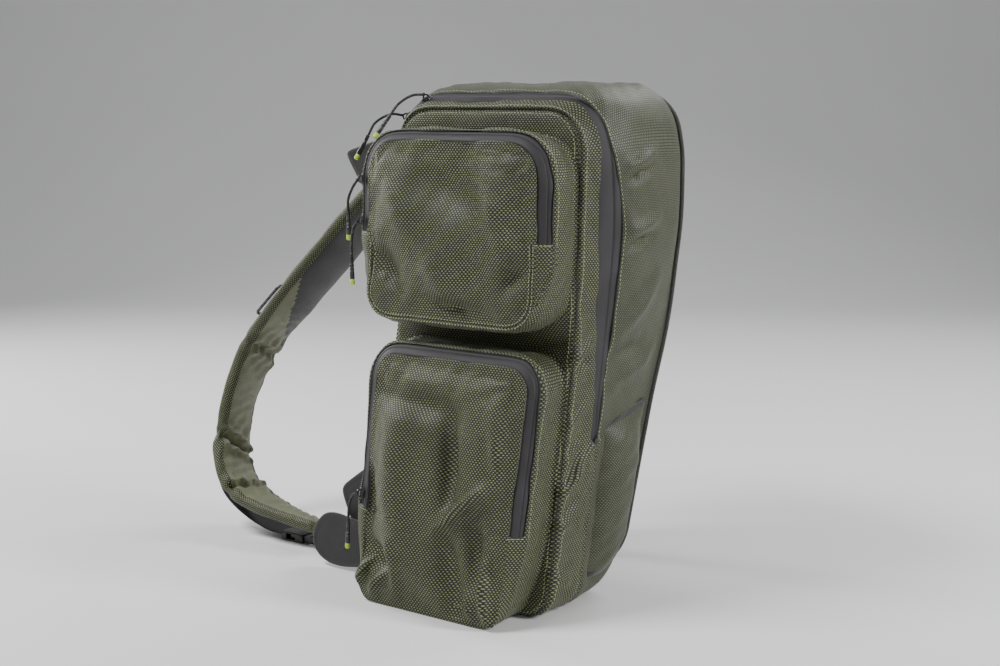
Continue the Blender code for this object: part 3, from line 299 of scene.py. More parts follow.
PACK_MIDDLE = Vector((0.0, FRONT_Y + DEPTH / 2, FRONT_HEIGHT / 2))


def smooth_step(value):
    value = min(max(value, 0.0), 1.0)
    return value * value * (3.0 - 2.0 * value)


def table_value(table, key):
    """Smooth value between the rows of a two-column table."""
    if key <= table[0][0]:
        return table[0][1]
    for low, high in zip(table, table[1:]):
        if key <= high[0]:
            share = (key - low[0]) / (high[0] - low[0])
            return low[1] + (high[1] - low[1]) * smooth_step(share)
    return table[-1][1]


def lean(z):
    """How far the pack's front and back stand off from upright at a height."""
    if z < WAIST_Z:
        return -LOW_LEAN * (WAIST_Z - z)
    return HIGH_LEAN * (z - WAIST_Z)


def depth_at(z):
    """The pack's depth, which tapers below the waist."""
    return DEPTH - LOW_TAPER * max(WAIST_Z - z, 0.0) / WAIST_Z


def arc(x, z, radius, start):
    """Points of an eighth of a circle in the XZ plane, from an angle in degrees."""
    angles = np.radians(np.linspace(start, start + 45, ARC_STEPS + 1))
    return [(x + radius * math.cos(a), z + radius * math.sin(a)) for a in angles]


def rounded_ring(half_low, half_high, low, high, corner_low, corner_high, heights, half_at, across):
    """A rounded rectangle in XZ, anticlockwise from the middle of its low left corner."""
    right_low, right_high = half_low - corner_low, half_high - corner_high
    low_z, high_z = low + corner_low, high - corner_high
    bottom = [((2 * share - 1) * right_low, low) for share in np.linspace(0, 1, across + 2)[1:-1]]
    top = [((2 * share - 1) * right_high, high) for share in np.linspace(1, 0, across + 2)[1:-1]]
    return (arc(-right_low, low_z, corner_low, 225) + bottom
            + arc(right_low, low_z, corner_low, 270) + arc(right_low, low_z, corner_low, 315)[1:]
            + [(half_at(z), z) for z in heights]
            + arc(right_high, high_z, corner_high, 0) + arc(right_high, high_z, corner_high, 45)[1:] + top
            + arc(-right_high, high_z, corner_high, 90) + arc(-right_high, high_z, corner_high, 135)[1:]
            + [(-half_at(z), z) for z in reversed(heights)]
            + arc(-right_low, low_z, corner_low, 180)[:-1])


def each(function, values):
    """A function's value at each number of an array."""
    return np.array([function(value) for value in values])


def fill_grid(ring, columns, rows):
    """Points of a surface spanning a ring: columns x rows, with the ring as its border."""
    ring = [Vector(p) for p in ring]
    bottom = ring[:columns + 1]
    right = ring[columns:columns + rows + 1]
    top = list(reversed(ring[columns + rows:2 * columns + rows + 1]))
    left = [ring[0]] + list(reversed(ring[2 * columns + rows:]))
    grid = {}
    for i in range(columns + 1):
        for j in range(rows + 1):
            u = i / columns
            v = j / rows
            corners = ((1 - u) * (1 - v) * bottom[0] + u * (1 - v) * bottom[-1]
                       + (1 - u) * v * top[0] + u * v * top[-1])
            grid[i, j] = ((1 - v) * bottom[i] + v * top[i] + (1 - u) * left[j] + u * right[j] - corners)
    return grid


def border_index(i, j, columns, rows):
    """Ring index of a border point of a fill grid."""
    count = 2 * (columns + rows)
    if j == 0:
        return i
    if i == columns:
        return columns + j
    if j == rows:
        return 2 * columns + rows - i
    return (count - j) % count


def side_heights():
    """Heights of the side points, with rows at the zip's end and at the waist."""
    low = MAIN_LOW_ROOM * LOW_CORNER * (1.0 + LOW_CORNER_GROWTH) + BACK_BASE_RISE
    high = FRONT_HEIGHT - MAIN_HIGH_ROOM * HIGH_CORNER
    parts = list(np.linspace(low, MAIN_ZIP_END_Z, 4))
    parts += list(np.linspace(MAIN_ZIP_END_Z, WAIST_Z, 4))[1:]
    parts += list(np.linspace(WAIST_Z, high, 6))[1:]
    return [float(z) for z in parts]


MAIN_ROWS = len(side_heights()) + 1 + 2 * ARC_STEPS
MAIN_COLUMNS = MAIN_ACROSS + 1 + 2 * ARC_STEPS


def strip_width(z):
    """Width of the woven strip between the front seam and the main zip."""
    fall = (FRONT_HEIGHT - z) / (FRONT_HEIGHT - MAIN_ZIP_END_Z)
    share = min(max(fall, 0.0), 1.0) ** 0.6
    return STRIP_AT_TOP + (STRIP_AT_SIDE - STRIP_AT_TOP) * share


def bulge_at(z):
    return SIDE_BULGE * table_value(BULGE_BY_HEIGHT, z / FRONT_HEIGHT)


def fold_push(x, z, depth):
    """Outward push of the flank folds at a point."""
    push = 0.0
    for side, height, back, tall, deep, share in FLANK_FOLDS:
        if side * x < 0.6 * FRONT_WIDTH / 2:
            continue
        along = (z - height * FRONT_HEIGHT) / (tall * FRONT_HEIGHT)
        away = (depth - back * DEPTH) / (deep * DEPTH)
        push += share * DEPTH * math.exp(-2.0 * (along * along + away * away))
    return push


def gusset_depth(share):
    """Way back at a height, for a share between the zip's back edge and the back seam."""
    def depth(z):
        zip_back = strip_width(z) + MAIN_ZIP_WIDTH
        return zip_back + share * (depth_at(z) - zip_back)
    return depth


def pack_ring(depth, bulge, rise, lift=0.0, inset=0.0):
    """Points around the pack at a way back, with its bulge, rise and lift as shares."""
    heights = side_heights()

    def half_at(z):
        return FRONT_WIDTH / 2 + bulge * bulge_at(z) - inset

    low = lift * BACK_BASE_RISE + inset
    high = FRONT_HEIGHT + rise * TOP_RISE - inset
    corner_low = LOW_CORNER * (1.0 + LOW_CORNER_GROWTH * lift) - inset
    corner_high = HIGH_CORNER * (1.0 + HIGH_CORNER_GROWTH * bulge) - inset
    flat = rounded_ring(half_at(low), half_at(high), low, high, corner_low, corner_high,
                        heights, half_at, MAIN_ACROSS)
    points = []
    for x, z in flat:
        way = depth(z)
        push = fold_push(x, z, way)
        points.append(Vector((x + math.copysign(push, x), FRONT_Y + lean(z) + way, z)))
    return points


def zip_span(first_row, columns, rows):
    """Ring indices of the side points where a zip starts and ends."""
    first = columns + ARC_STEPS + 1 + first_row
    return first, 2 * (columns + rows) - (first - columns)


def way_along(points, closed=True):
    """Distance along a row of points, with the closing step last."""
    total = [0.0]
    for a, b in zip(points, points[1:] + points[:1]):
        total.append(total[-1] + (b - a).length)
    return total if closed else total[:-1]


def smooth_route(points, steps):
    """Points of a smooth curve through a route; columns past the third go straight."""
    rows = [np.array(p, dtype=float) for p in points]
    rows = [2 * rows[0] - rows[1]] + rows + [2 * rows[-1] - rows[-2]]
    result = []
    for k in range(1, len(rows) - 2):
        a, b, c, d = rows[k - 1:k + 3]
        length = np.linalg.norm(c[:3] - b[:3])
        leave = length * (c - a)[:3] / np.linalg.norm((c - a)[:3])
        arrive = length * (d - b)[:3] / np.linalg.norm((d - b)[:3])
        for step in range(steps):
            t = step / steps
            row = b + (c - b) * t
            row[:3] = ((2 * t ** 3 - 3 * t ** 2 + 1) * b[:3] + (t ** 3 - 2 * t ** 2 + t) * leave
                       + (3 * t ** 2 - 2 * t ** 3) * c[:3] + (t ** 3 - t ** 2) * arrive)
            result.append(row)
    result.append(rows[-2])
    return result


def back_of(z):
    """Place of the pack's back at a height."""
    return FRONT_Y + lean(z) + depth_at(z)


def back_surface(z):
    """Place of the outer face of the padded back at a height."""
    return back_of(z) + CLEAR + BACK_PAD


def strap_stations(table, steps):
    """Stations of a strap from its table of shares; the root lies on the padded back."""
    rows = []
    for across, back, up, wx, wy, wz, share in table:
        rows.append((across * FRONT_WIDTH, FRONT_Y + back * DEPTH, up * FRONT_HEIGHT,
                     wx, wy, wz, share * STRAP_WIDTH))
    seat = back_surface(rows[2][2]) + 2 * CLEAR + STRAP_THICK / 2
    stations = []
    for row in smooth_route(rows, steps):
        x, y, z = row[:3]
        if z < rows[2][2] and len(stations) < 3 * steps:
            y = max(y, seat)
        stations.append(((x, y, z), row[3:6], row[6]))
    return stations


def station_frames(stations):
    """Centre, across, out and width of each station of a band."""
    frames = []
    for k, (centre, wide, width) in enumerate(stations):
        ahead = Vector(stations[min(k + 1, len(stations) - 1)][0])
        behind = Vector(stations[max(k - 1, 0)][0])
        along = (ahead - behind).normalized()
        across = Vector(wide) - along * Vector(wide).dot(along)
        across.normalize()
        frames.append((Vector(centre), across, across.cross(along), along, width))
    return frames


# Helpers for meshes


def new_object(name, data):
    obj = bpy.data.objects.new(name, data)
    bpy.context.scene.collection.objects.link(obj)
    return obj


def only(obj):
    """Select one object and make it active."""
    bpy.ops.object.select_all(action="DESELECT")
    obj.select_set(True)
    bpy.context.view_layer.objects.active = obj


def all_outward(obj, merge=0.0):
    """Merge doubles nearer than a distance, where one is given, and turn the faces outward."""
    only(obj)
    bpy.ops.object.mode_set(mode="EDIT")
    bpy.ops.mesh.select_all(action="SELECT")
    if merge:
        bpy.ops.mesh.remove_doubles(threshold=merge)
    bpy.ops.mesh.normals_make_consistent(inside=False)
    bpy.ops.object.mode_set(mode="OBJECT")


def apply_all(obj):
    only(obj)
    for mod in list(obj.modifiers):
        bpy.ops.object.modifier_apply(modifier=mod.name)


def settle(obj, nodes, smooth=60.0):
    """Apply a finished piece's place, shade it, attach it to the root body and hide the imported nodes it
    replaces.
    """
    apply_all(obj)
    bpy.ops.object.transform_apply(location=True, rotation=True, scale=True)
    bpy.ops.object.shade_smooth_by_angle(angle=math.radians(smooth))
    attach(obj, "root")
    if nodes:
        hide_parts(*nodes)


def subdivide(obj, levels):
    mod = obj.modifiers.new("round", "SUBSURF")
    mod.levels = levels
    mod.render_levels = levels
    apply_all(obj)


class Cloth:
    """Quads of a sewn piece, with a chart in metres at each corner."""

    def __init__(self):
        self.bm = bmesh.new()
        self.chart = self.bm.loops.layers.uv.new("UVMap")

    def row(self, points):
        return [self.bm.verts.new(p) for p in points]

    def face(self, corners, charts, slot=0):
        try:
            face = self.bm.faces.new(corners)
        except ValueError:
            return
        face.material_index = slot
        for loop, place in zip(face.loops, charts):
            loop[self.chart].uv = place

    def flat_face(self, corners, slot=0):
        """A face whose chart is its front view."""
        self.face(corners, [(c.co.x, c.co.z) for c in corners], slot)

    def quads(self, rows, chart, slot_of=lambda k, n: 0, closed=True, skip=lambda k, n: False):
        """Faces between rows; chart gives the place of point n of row r in the strip after row k."""
        count = len(rows[0])
        for k in range(len(rows) - 1):
            for n in range(count if closed else count - 1):
                if skip(k, n):
                    continue
                m = (n + 1) % count
                corners = (rows[k][n], rows[k + 1][n], rows[k + 1][m], rows[k][m])
                spots = ((k, n), (k + 1, n), (k + 1, n + 1), (k, n + 1))
                self.face(corners, [chart(k, r, place) for r, place in spots], slot_of(k, n))

    def edge(self, loop, rim, slot):
        """Faces between the loop of an opening and its turned-in rim."""
        charts = ((0, 0), (0, 0.003), (0.01, 0.003), (0.01, 0))
        for k in range(len(loop)):
            m = (k + 1) % len(loop)
            self.face((loop[k], rim[k], rim[m], loop[m]), charts, slot)

    def fill(self, ring, border, columns, rows, way, flip=False, slot=0):
        """Faces of a grid that spans a ring, its points at a way given by their place."""
        cell = {}
        for (i, j), point in fill_grid(ring, columns, rows).items():
            if i in (0, columns) or j in (0, rows):
                cell[i, j] = border[border_index(i, j, columns, rows)]
            else:
                point.y = way(point)
                cell[i, j] = self.bm.verts.new(point)
        for i in range(columns):
            for j in range(rows):
                keys = [(i, j), (i + 1, j), (i + 1, j + 1), (i, j + 1)]
                if flip:
                    keys.reverse()
                self.flat_face([cell[k] for k in keys], slot)

    def done(self, name, mats, levels):
        """The piece as an object, its faces outward, rounded by subdivision."""
        bmesh.ops.recalc_face_normals(self.bm, faces=self.bm.faces)
        obj = self.piece(name, mats)
        subdivide(obj, levels)
        return obj

    def piece(self, name, mats):
        loose = [v for v in self.bm.verts if not v.link_faces]
        bmesh.ops.delete(self.bm, geom=loose, context="VERTS")
        mesh = bpy.data.meshes.new(name)
        self.bm.to_mesh(mesh)
        self.bm.free()
        for mat in mats:
            mesh.materials.append(MATS[mat])
        return new_object(name, mesh)


def vertex_data(obj):
    """Places and normals of an object's vertices as arrays."""
    verts = obj.data.vertices
    data = {key: np.empty(len(verts) * 3) for key in ("co", "normal")}
    for key, values in data.items():
        verts.foreach_get(key, values)
    return data["co"].reshape(-1, 3), data["normal"].reshape(-1, 3)


def move_vertices(obj, places, low=0.0):
    """Put vertices at their places, none of them below a height."""
    places[:, 2] = np.maximum(places[:, 2], low)
    obj.data.vertices.foreach_set("co", places.reshape(-1))
    obj.data.update()


def drape(obj, held):
    """Let cloth settle under a little pressure from inside, where it isn't held by its seams."""
    before, _ = vertex_data(obj)
    group = obj.vertex_groups.new(name="held")
    for step in range(11):
        chosen = np.nonzero(np.rint(held * 10) == step)[0]
        group.add([int(k) for k in chosen], step / 10, "REPLACE")
    mod = obj.modifiers.new("drape", "CLOTH")
    for key, value in CLOTH_SETTINGS.items():
        setattr(mod.settings, key, value)
    mod.settings.vertex_group_mass = group.name
    mod.settings.effector_weights.gravity = 0.0
    mod.collision_settings.use_collision = False
    mod.point_cache.frame_start = 1
    mod.point_cache.frame_end = DRAPE_FRAMES
    for number in range(1, DRAPE_FRAMES + 1):
        bpy.context.scene.frame_set(number)
    settled = obj.evaluated_get(bpy.context.evaluated_depsgraph_get())
    after = np.empty(before.size)
    settled.data.vertices.foreach_get("co", after)
    move = after.reshape(-1, 3) - before
    obj.modifiers.remove(mod)
    obj.vertex_groups.remove(group)
    bpy.context.scene.frame_set(1)
    far = np.linalg.norm(move, axis=1)
    move *= np.minimum(1.0, DRAPE_CAP / np.maximum(far, 1e-9))[:, None]
    move_vertices(obj, before + move, -1.0)


def surface_tree(obj):
    mesh = obj.data
    mesh.calc_loop_triangles()
    return BVHTree.FromPolygons([v.co.copy() for v in mesh.vertices],
                                [tuple(t.vertices) for t in mesh.loop_triangles])


def resample(points, step, closed=False):
    """Points at an even distance along a polyline."""
    pts = list(points) + ([points[0]] if closed else [])
    lengths = way_along(pts, False)
    count = max(int(lengths[-1] / step), 2)
    result = []
    k = 0
    for n in range(count if closed else count + 1):
        want = lengths[-1] * n / count
        while k < len(pts) - 2 and lengths[k + 1] < want:
            k += 1
        span = max(lengths[k + 1] - lengths[k], 1e-9)
        result.append(pts[k].lerp(pts[k + 1], (want - lengths[k]) / span))
    return result


def look():
    """The sizes and colours set in the sidebar."""
    return bpy.context.scene.rucksack_look


def stitches(name, lines, tree, mat="thread_light", share=1.0, gap=0.0014, thick=0.00042):
    """Rows of short threads that lie on a surface, each as long as a share of the set length."""
    long = look().stitch_length * share
    sides = 5
    verts = []
    faces = []
    for line, closed in lines:
        points = resample(line, long + gap, closed)
        for here, ahead in zip(points, points[1:] + ([points[0]] if closed else [])):
            hit, normal, _, _ = tree.find_nearest(here)
            if hit is None or normal is None or hit.z < 0.002:
                continue
            along = (ahead - here)
            along = along - normal * along.dot(normal)
            if along.length < 1e-6:
                continue
            along.normalize()
            across = normal.cross(along)
            base = len(verts)
            for way, size, lift in STITCH_PROFILE:
                for s in range(sides):
                    turn = 2 * math.pi * s / sides
                    verts.append(hit + along * (way * long) + across * (math.cos(turn) * thick * size)
                                 + normal * (thick * lift + math.sin(turn) * thick * size))
            for a in range(base, base + 3 * sides, sides):
                faces += [(a + s, a + (s + 1) % sides, a + (s + 1) % sides + sides, a + s + sides)
                          for s in range(sides)]
            faces.append(tuple(base + s for s in reversed(range(sides))))
            faces.append(tuple(base + 3 * sides + s for s in range(sides)))
    mesh = bpy.data.meshes.new(name)
    mesh.from_pydata([tuple(v) for v in verts], [], faces)
    mesh.materials.append(MATS[mat])
    obj = new_object(name, mesh)
    all_outward(obj)
    settle(obj, (), 40.0)


def distances(rings):
    """Distance across a stack of rings at each of their points, from the first ring."""
    total = [[0.0] * len(rings[0])]
    for low, high in zip(rings, rings[1:]):
        total.append([t + (b - a).length for t, a, b in zip(total[-1], low, high)])
    return total


def line_curve(name, points, radius, mat, closed=False, sides=3):
    """A round line through points, as a curve."""
    curve = bpy.data.curves.new(name, "CURVE")
    curve.dimensions = "3D"
    spline = curve.splines.new("POLY")
    spline.points.add(len(points) - 1)
    for place, point in zip(spline.points, points):
        place.co = (*point, 1.0)
    spline.use_cyclic_u = closed
    curve.bevel_depth = radius
    curve.bevel_resolution = sides
    curve.use_fill_caps = not closed
    curve.materials.append(MATS[mat])
    return new_object(name, curve)


def round_cord(name, points, radius, mat, closed=False, sides=3):
    """A tube through points, as a mesh."""
    only(line_curve(name, points, radius, mat, closed, sides))
    bpy.ops.object.convert(target="MESH")
    obj = bpy.context.view_layer.objects.active
    all_outward(obj, 0.00001)
    return obj


# Materials


class Nodes:
    """A node material under construction."""

    def __init__(self, name, use_chart=False):
        self.mat = bpy.data.materials.new(name)
        self.mat.use_nodes = True
        self.tree = self.mat.node_tree
        self.shader = self.tree.nodes["Principled BSDF"]
        place = self.node("ShaderNodeTexCoord")
        self.object = place.outputs["Object"]
        if use_chart:
            self.chart = place.outputs["UV"]
            split = self.feed(self.node("ShaderNodeSeparateXYZ"), self.chart)
            self.across, self.along = split.outputs[0], split.outputs[1]

    def node(self, kind, **values):
        node = self.tree.nodes.new(kind)
        for key, value in values.items():
            setattr(node, key, value)
        return node

    def put(self, socket, value):
        """Link a socket into another one, or set its value."""
        if isinstance(value, bpy.types.NodeSocket):
            self.tree.links.new(value, socket)
        else:
            socket.default_value = (*value, 1.0) if isinstance(value, tuple) else value

    def feed(self, node, *values, **named):
        for key, value in list(enumerate(values)) + [(k.replace("_", " "), v) for k, v in named.items()]:
            self.put(node.inputs[key], value)
        return node

    def math(self, operation, *values):
        return self.feed(self.node("ShaderNodeMath", operation=operation), *values).outputs[0]

    def plus(self, *values):
        return self.math("ADD", *values)

    def times(self, *values):
        return self.math("MULTIPLY", *values)

    def wave(self, value, length):
        """A sine with a wave length in metres."""
        return self.math("SINE", self.times(value, 2 * math.pi / length))

    def noise(self, scale, detail=2.0, source=None):
        node = self.node("ShaderNodeTexNoise")
        return self.feed(node, Vector=source or self.object, Scale=scale, Detail=detail,
                         Roughness=0.5).outputs["Fac"]

    def ramp(self, value, low, high, out_low=0.0, out_high=1.0):
        node = self.node("ShaderNodeMapRange", clamp=True)
        return self.feed(node, Value=value, From_Min=low, From_Max=high, To_Min=out_low,
                         To_Max=out_high).outputs["Result"]

    def mix(self, share, low, high):
        node = self.node("ShaderNodeMix", data_type="RGBA")
        sockets = [s for s in node.inputs if s.type == "RGBA"]
        for socket, value in ((node.inputs["Factor"], share), (sockets[0], low), (sockets[1], high)):
            self.put(socket, value)
        return [s for s in node.outputs if s.type == "RGBA"][0]

    def bump(self, height, strength, distance):
        node = self.feed(self.node("ShaderNodeBump"), Strength=strength, Distance=distance, Height=height)
        self.put(self.shader.inputs["Normal"], node.outputs["Normal"])

    def set(self, **values):
        self.feed(self.shader, **values)
        return self.mat


def woven(name, across, up, dark, bright, share, rough=0.50):
    """Coarse cloth: bright floats staggered from row to row over gaps of painted shade, worn in patches."""
    n = Nodes(name, use_chart=True)
    wander = n.math("SUBTRACT", n.noise(110.0, 1.0, n.chart), 0.5)
    x = n.plus(n.times(n.across, 1.0 / across), n.times(wander, 0.16))
    y = n.plus(n.times(n.along, 1.0 / up), n.times(wander, 0.10))
    row = n.math("FLOOR", y)
    x = n.plus(x, n.times(n.math("MODULO", n.math("ABSOLUTE", row), 2.0), 0.5))

    def from_middle(way, size):
        off = n.times(n.math("SUBTRACT", n.math("FRACT", way), 0.5), size)
        return n.math("POWER", n.math("ABSOLUTE", off), 2.4)

    float_up = n.ramp(n.plus(from_middle(x, 3.0), from_middle(y, 2.7)), 0.30, 0.95, 1.0, 0.0)
    ply = n.math("MULTIPLY_ADD", n.wave(n.across, across * 0.16), 0.12, 0.88)
    cell = n.feed(n.node("ShaderNodeCombineXYZ"), n.math("FLOOR", x), row, 0.0)
    one = n.feed(n.node("ShaderNodeTexWhiteNoise", noise_dimensions="3D"), Vector=cell.outputs[0])
    lively = n.ramp(one.outputs["Value"], 0.0, 1.0, 0.70, 1.0)
    patch = n.ramp(n.noise(16.0), 0.30, 0.70, 0.80, 1.10)
    # Colour follows the float's height and the ply grooves: painted shade toward the gaps and in the
    # grooves; the per-float and patch changes are random tone.
    level = n.times(n.times(float_up, lively), n.times(ply, patch))
    n.bump(n.plus(float_up, n.times(ply, 0.12)), 0.85, 0.00030)
    return n.set(Base_Color=n.mix(n.math("MINIMUM", level, 1.0), dark, bright), Sheen_Weight=0.05,
                 Roughness=n.math("SUBTRACT", rough + 0.14, n.times(float_up, 0.16)), Sheen_Roughness=0.45,
                 Specular_IOR_Level=share)


def satin(name, base, bright):
    """Fine twill: thin slanting ribs, with soft colour changes."""
    n = Nodes(name, use_chart=True)
    rib = n.wave(n.plus(n.across, n.times(n.along, 0.8)), 0.0009)
    weave = n.math("MULTIPLY_ADD", n.plus(rib, n.wave(n.along, 0.00072)), 0.25, 0.5)
    patch = n.ramp(n.noise(14.0, 3.0), 0.30, 0.72, 0.35, 1.0)
    speck = n.ramp(n.noise(900.0, 1.0), 0.30, 0.75, 0.6, 1.0)
    n.bump(n.plus(weave, n.times(n.noise(120.0, 3.0), 0.8)), 0.5, 0.00018)
    return n.set(Base_Color=n.mix(n.times(n.times(weave, patch), speck), base, bright), Sheen_Weight=0.18,
                 Roughness=n.ramp(n.noise(30.0, 3.0), 0.3, 0.7, 0.37, 0.54), Sheen_Roughness=0.4)


def coated(name, base, bright):
    """Rubber-coated zip tape: smooth, faintly ribbed across, scuffed in places."""
    n = Nodes(name, use_chart=True)
    scuff = n.ramp(n.noise(26.0, 4.0), 0.38, 0.74)
    n.bump(n.plus(n.times(n.wave(n.across, 0.0011), 0.28), n.times(n.noise(700.0), 0.6)), 0.35, 0.00012)
    return n.set(Base_Color=n.mix(scuff, base, bright), Roughness=n.math("MULTIPLY_ADD", scuff, 0.16, 0.60),
                 Specular_IOR_Level=0.42)


def ribbed(name, base, bright, pitch=0.0016, rough=0.68):
    """Webbing: ribs across its width, each with its twist."""
    n = Nodes(name, use_chart=True)
    twist = n.times(n.wave(n.across, pitch * 1.5), 0.6)
    weave = n.math("MULTIPLY_ADD", n.plus(n.wave(n.along, pitch), twist), 0.3, 0.5)
    worn = n.ramp(n.noise(40.0, 3.0), 0.3, 0.7, 0.4, 1.0)
    n.bump(weave, 0.7, 0.00032)
    return n.set(Base_Color=n.mix(n.times(weave, worn), base, bright), Roughness=rough, Sheen_Weight=0.15)


def lining(name, base, bright):
    """Thin, slightly shiny lining cloth of the straps."""
    n = Nodes(name, use_chart=True)
    weave = n.math("MULTIPLY_ADD", n.times(n.wave(n.across, 0.0008), n.wave(n.along, 0.0008)), 0.5, 0.5)
    patch = n.ramp(n.noise(60.0, 3.0), 0.3, 0.7, 0.3, 1.0)
    n.bump(n.plus(weave, n.times(n.noise(250.0, 3.0), 1.2)), 0.45, 0.0002)
    return n.set(Base_Color=n.mix(n.times(weave, patch), base, bright), Roughness=0.5, Sheen_Weight=0.25)


def moulded(name, base, bright, rough):
    """Moulded plastic with a fine grain and cloudy changes of colour and roughness."""
    n = Nodes(name)
    cloud = n.ramp(n.noise(90.0, 3.0), 0.35, 0.7)
    n.bump(n.noise(1500.0), 0.28, 0.00010)
    return n.set(Base_Color=n.mix(cloud, base, bright),
                 Roughness=n.math("MULTIPLY_ADD", cloud, 0.14, rough))


def metal(name, base, bright):
    """Dark plated metal, a little worn."""
    n = Nodes(name)
    cloud = n.ramp(n.noise(240.0, 4.0), 0.35, 0.7)
    n.bump(n.noise(900.0), 0.2, 0.00006)
    return n.set(Base_Color=n.mix(cloud, base, bright), Roughness=n.math("MULTIPLY_ADD", cloud, 0.18, 0.24),
                 Metallic=0.85)


def braided(name, base, speck_colour):
    """Thin braided cord with light specks."""
    n = Nodes(name)
    cells = n.feed(n.node("ShaderNodeTexVoronoi"), Vector=n.object, Scale=1250.0)
    speck = n.ramp(cells.outputs["Distance"], 0.05, 0.42, 1.0, 0.0)
    level = n.times(speck, n.ramp(n.noise(620.0, 1.0), 0.50, 0.60))
    n.bump(cells.outputs["Distance"], 0.8, 0.00025)
    return n.set(Base_Color=n.mix(level, base, speck_colour), Roughness=0.7, Sheen_Weight=0.1)


def thread(name, base, bright):
    """Sewing thread with its twist."""
    n = Nodes(name)
    twist = n.noise(2600.0, 1.0)
    n.bump(twist, 0.5, 0.00008)
    return n.set(Base_Color=n.mix(n.ramp(twist, 0.3, 0.7), base, bright), Roughness=0.55, Sheen_Weight=0.2)


def floor_finish():
    """Pale matt studio floor."""
    n = Nodes("studio_floor")
    return n.set(Base_Color=n.mix(n.noise(2.0), grey(0.74), grey(0.79)), Roughness=0.85)


MATS = {}


def grey(value):
    return (value, value, value)


def make_materials():
    """Every material of the rucksack, by name, made once."""
    if MATS:
        return
    # gap is the painted shade between the floats of the weave; bright is the floats' own colour.
    bright, gap, tape, tip = (tuple(colour) for colour in (
        look().weave_colour, look().gap_shade_colour, look().tape_colour, look().tip_colour))
    across = look().weave_pitch
    up = across * 0.573

    def share_of(colour, share):
        return tuple(min(value * share, 1.0) for value in colour)

    for finish, name, *values in (
            # In each woven finish the first colour is painted shade between the floats, the second the
            # floats' own colour.
            (woven, "weave", across, up, gap, bright, 0.55),
            # The next finish is the weave 7% darker, for the pack body, the gussets and the ear: painted
            # shade.
            (woven, "weave_soft", across, up, gap, share_of(bright, 0.93), 0.55),
            (woven, "weave_flank", 0.0027, 0.0016, (0.010, 0.012, 0.006), (0.165, 0.184, 0.082), 0.6, 0.46),
            (woven, "weave_strap", 0.0027, 0.0017, (0.004, 0.005, 0.002), (0.290, 0.315, 0.145), 0.5),
            (woven, "mesh_back", 0.0030, 0.0018, grey(0.006), (0.036, 0.038, 0.034), 0.3),
            (coated, "tape", tape, share_of(tape, 1.9)),
            (ribbed, "piping", (0.014, 0.015, 0.011), (0.050, 0.054, 0.036), 0.0010, 0.55),
            (ribbed, "binding", grey(0.006), (0.024, 0.024, 0.022), 0.0010, 0.55),
            (ribbed, "webbing", grey(0.007), (0.028, 0.029, 0.028)),
            (satin, "strap_pad", grey(0.005), grey(0.017)),
            (lining, "lining", (0.070, 0.075, 0.034), (0.210, 0.220, 0.112)),
            (moulded, "moulded", grey(0.008), grey(0.022), 0.28),
            (moulded, "tip", tip, share_of(tip, 1.22), 0.42),
            (metal, "slider", (0.040, 0.040, 0.042), (0.12, 0.12, 0.125)),
            (metal, "wire", (0.06, 0.06, 0.062), (0.16, 0.16, 0.165)),
            (braided, "cord", grey(0.008), (0.42, 0.43, 0.40)),
            # Near-black thread, used only where a row of stitches stands for painted shade in a seam's
            # groove or beside a rolled edge.
            (thread, "thread_dark", grey(0.003), (0.009, 0.009, 0.008)),
            (thread, "thread_light", (0.20, 0.215, 0.11), (0.42, 0.45, 0.25))):
        MATS[name] = finish(name, *values)


# Stage


def make_camera():
    turn, rise, roll = (math.radians(v) for v in (CAMERA_TURN, CAMERA_RISE, CAMERA_ROLL))
    back = Vector((math.sin(turn) * math.cos(rise), -math.cos(turn) * math.cos(rise), math.sin(rise)))
    right = (-back).cross(Vector((0, 0, 1))).normalized()
    up = right.cross(-back)
    side = right * math.cos(roll) + up * math.sin(roll)
    top = up * math.cos(roll) - right * math.sin(roll)
    data = bpy.data.cameras.new("camera")
    data.lens = CAMERA_LENS
    data.sensor_width = CAMERA_SENSOR
    data.sensor_fit = "HORIZONTAL"
    data.clip_end = 20.0
    obj = new_object("camera", data)
    obj.matrix_world = (Matrix.Translation(Vector(CAMERA_AIM) + back * CAMERA_AWAY)
                        @ Matrix((side, top, back)).transposed().to_4x4())
    bpy.context.scene.camera = obj


def make_area(name, place, aim, size, power):
    data = bpy.data.lights.new(name, "AREA")
    data.shape = "RECTANGLE"
    data.size, data.size_y = size
    data.energy = power
    way = (Vector(aim) - Vector(place)).normalized()
    new_object(name, data).matrix_world = (Matrix.Translation(place)
                                           @ way.to_track_quat("-Z", "Y").to_matrix().to_4x4())


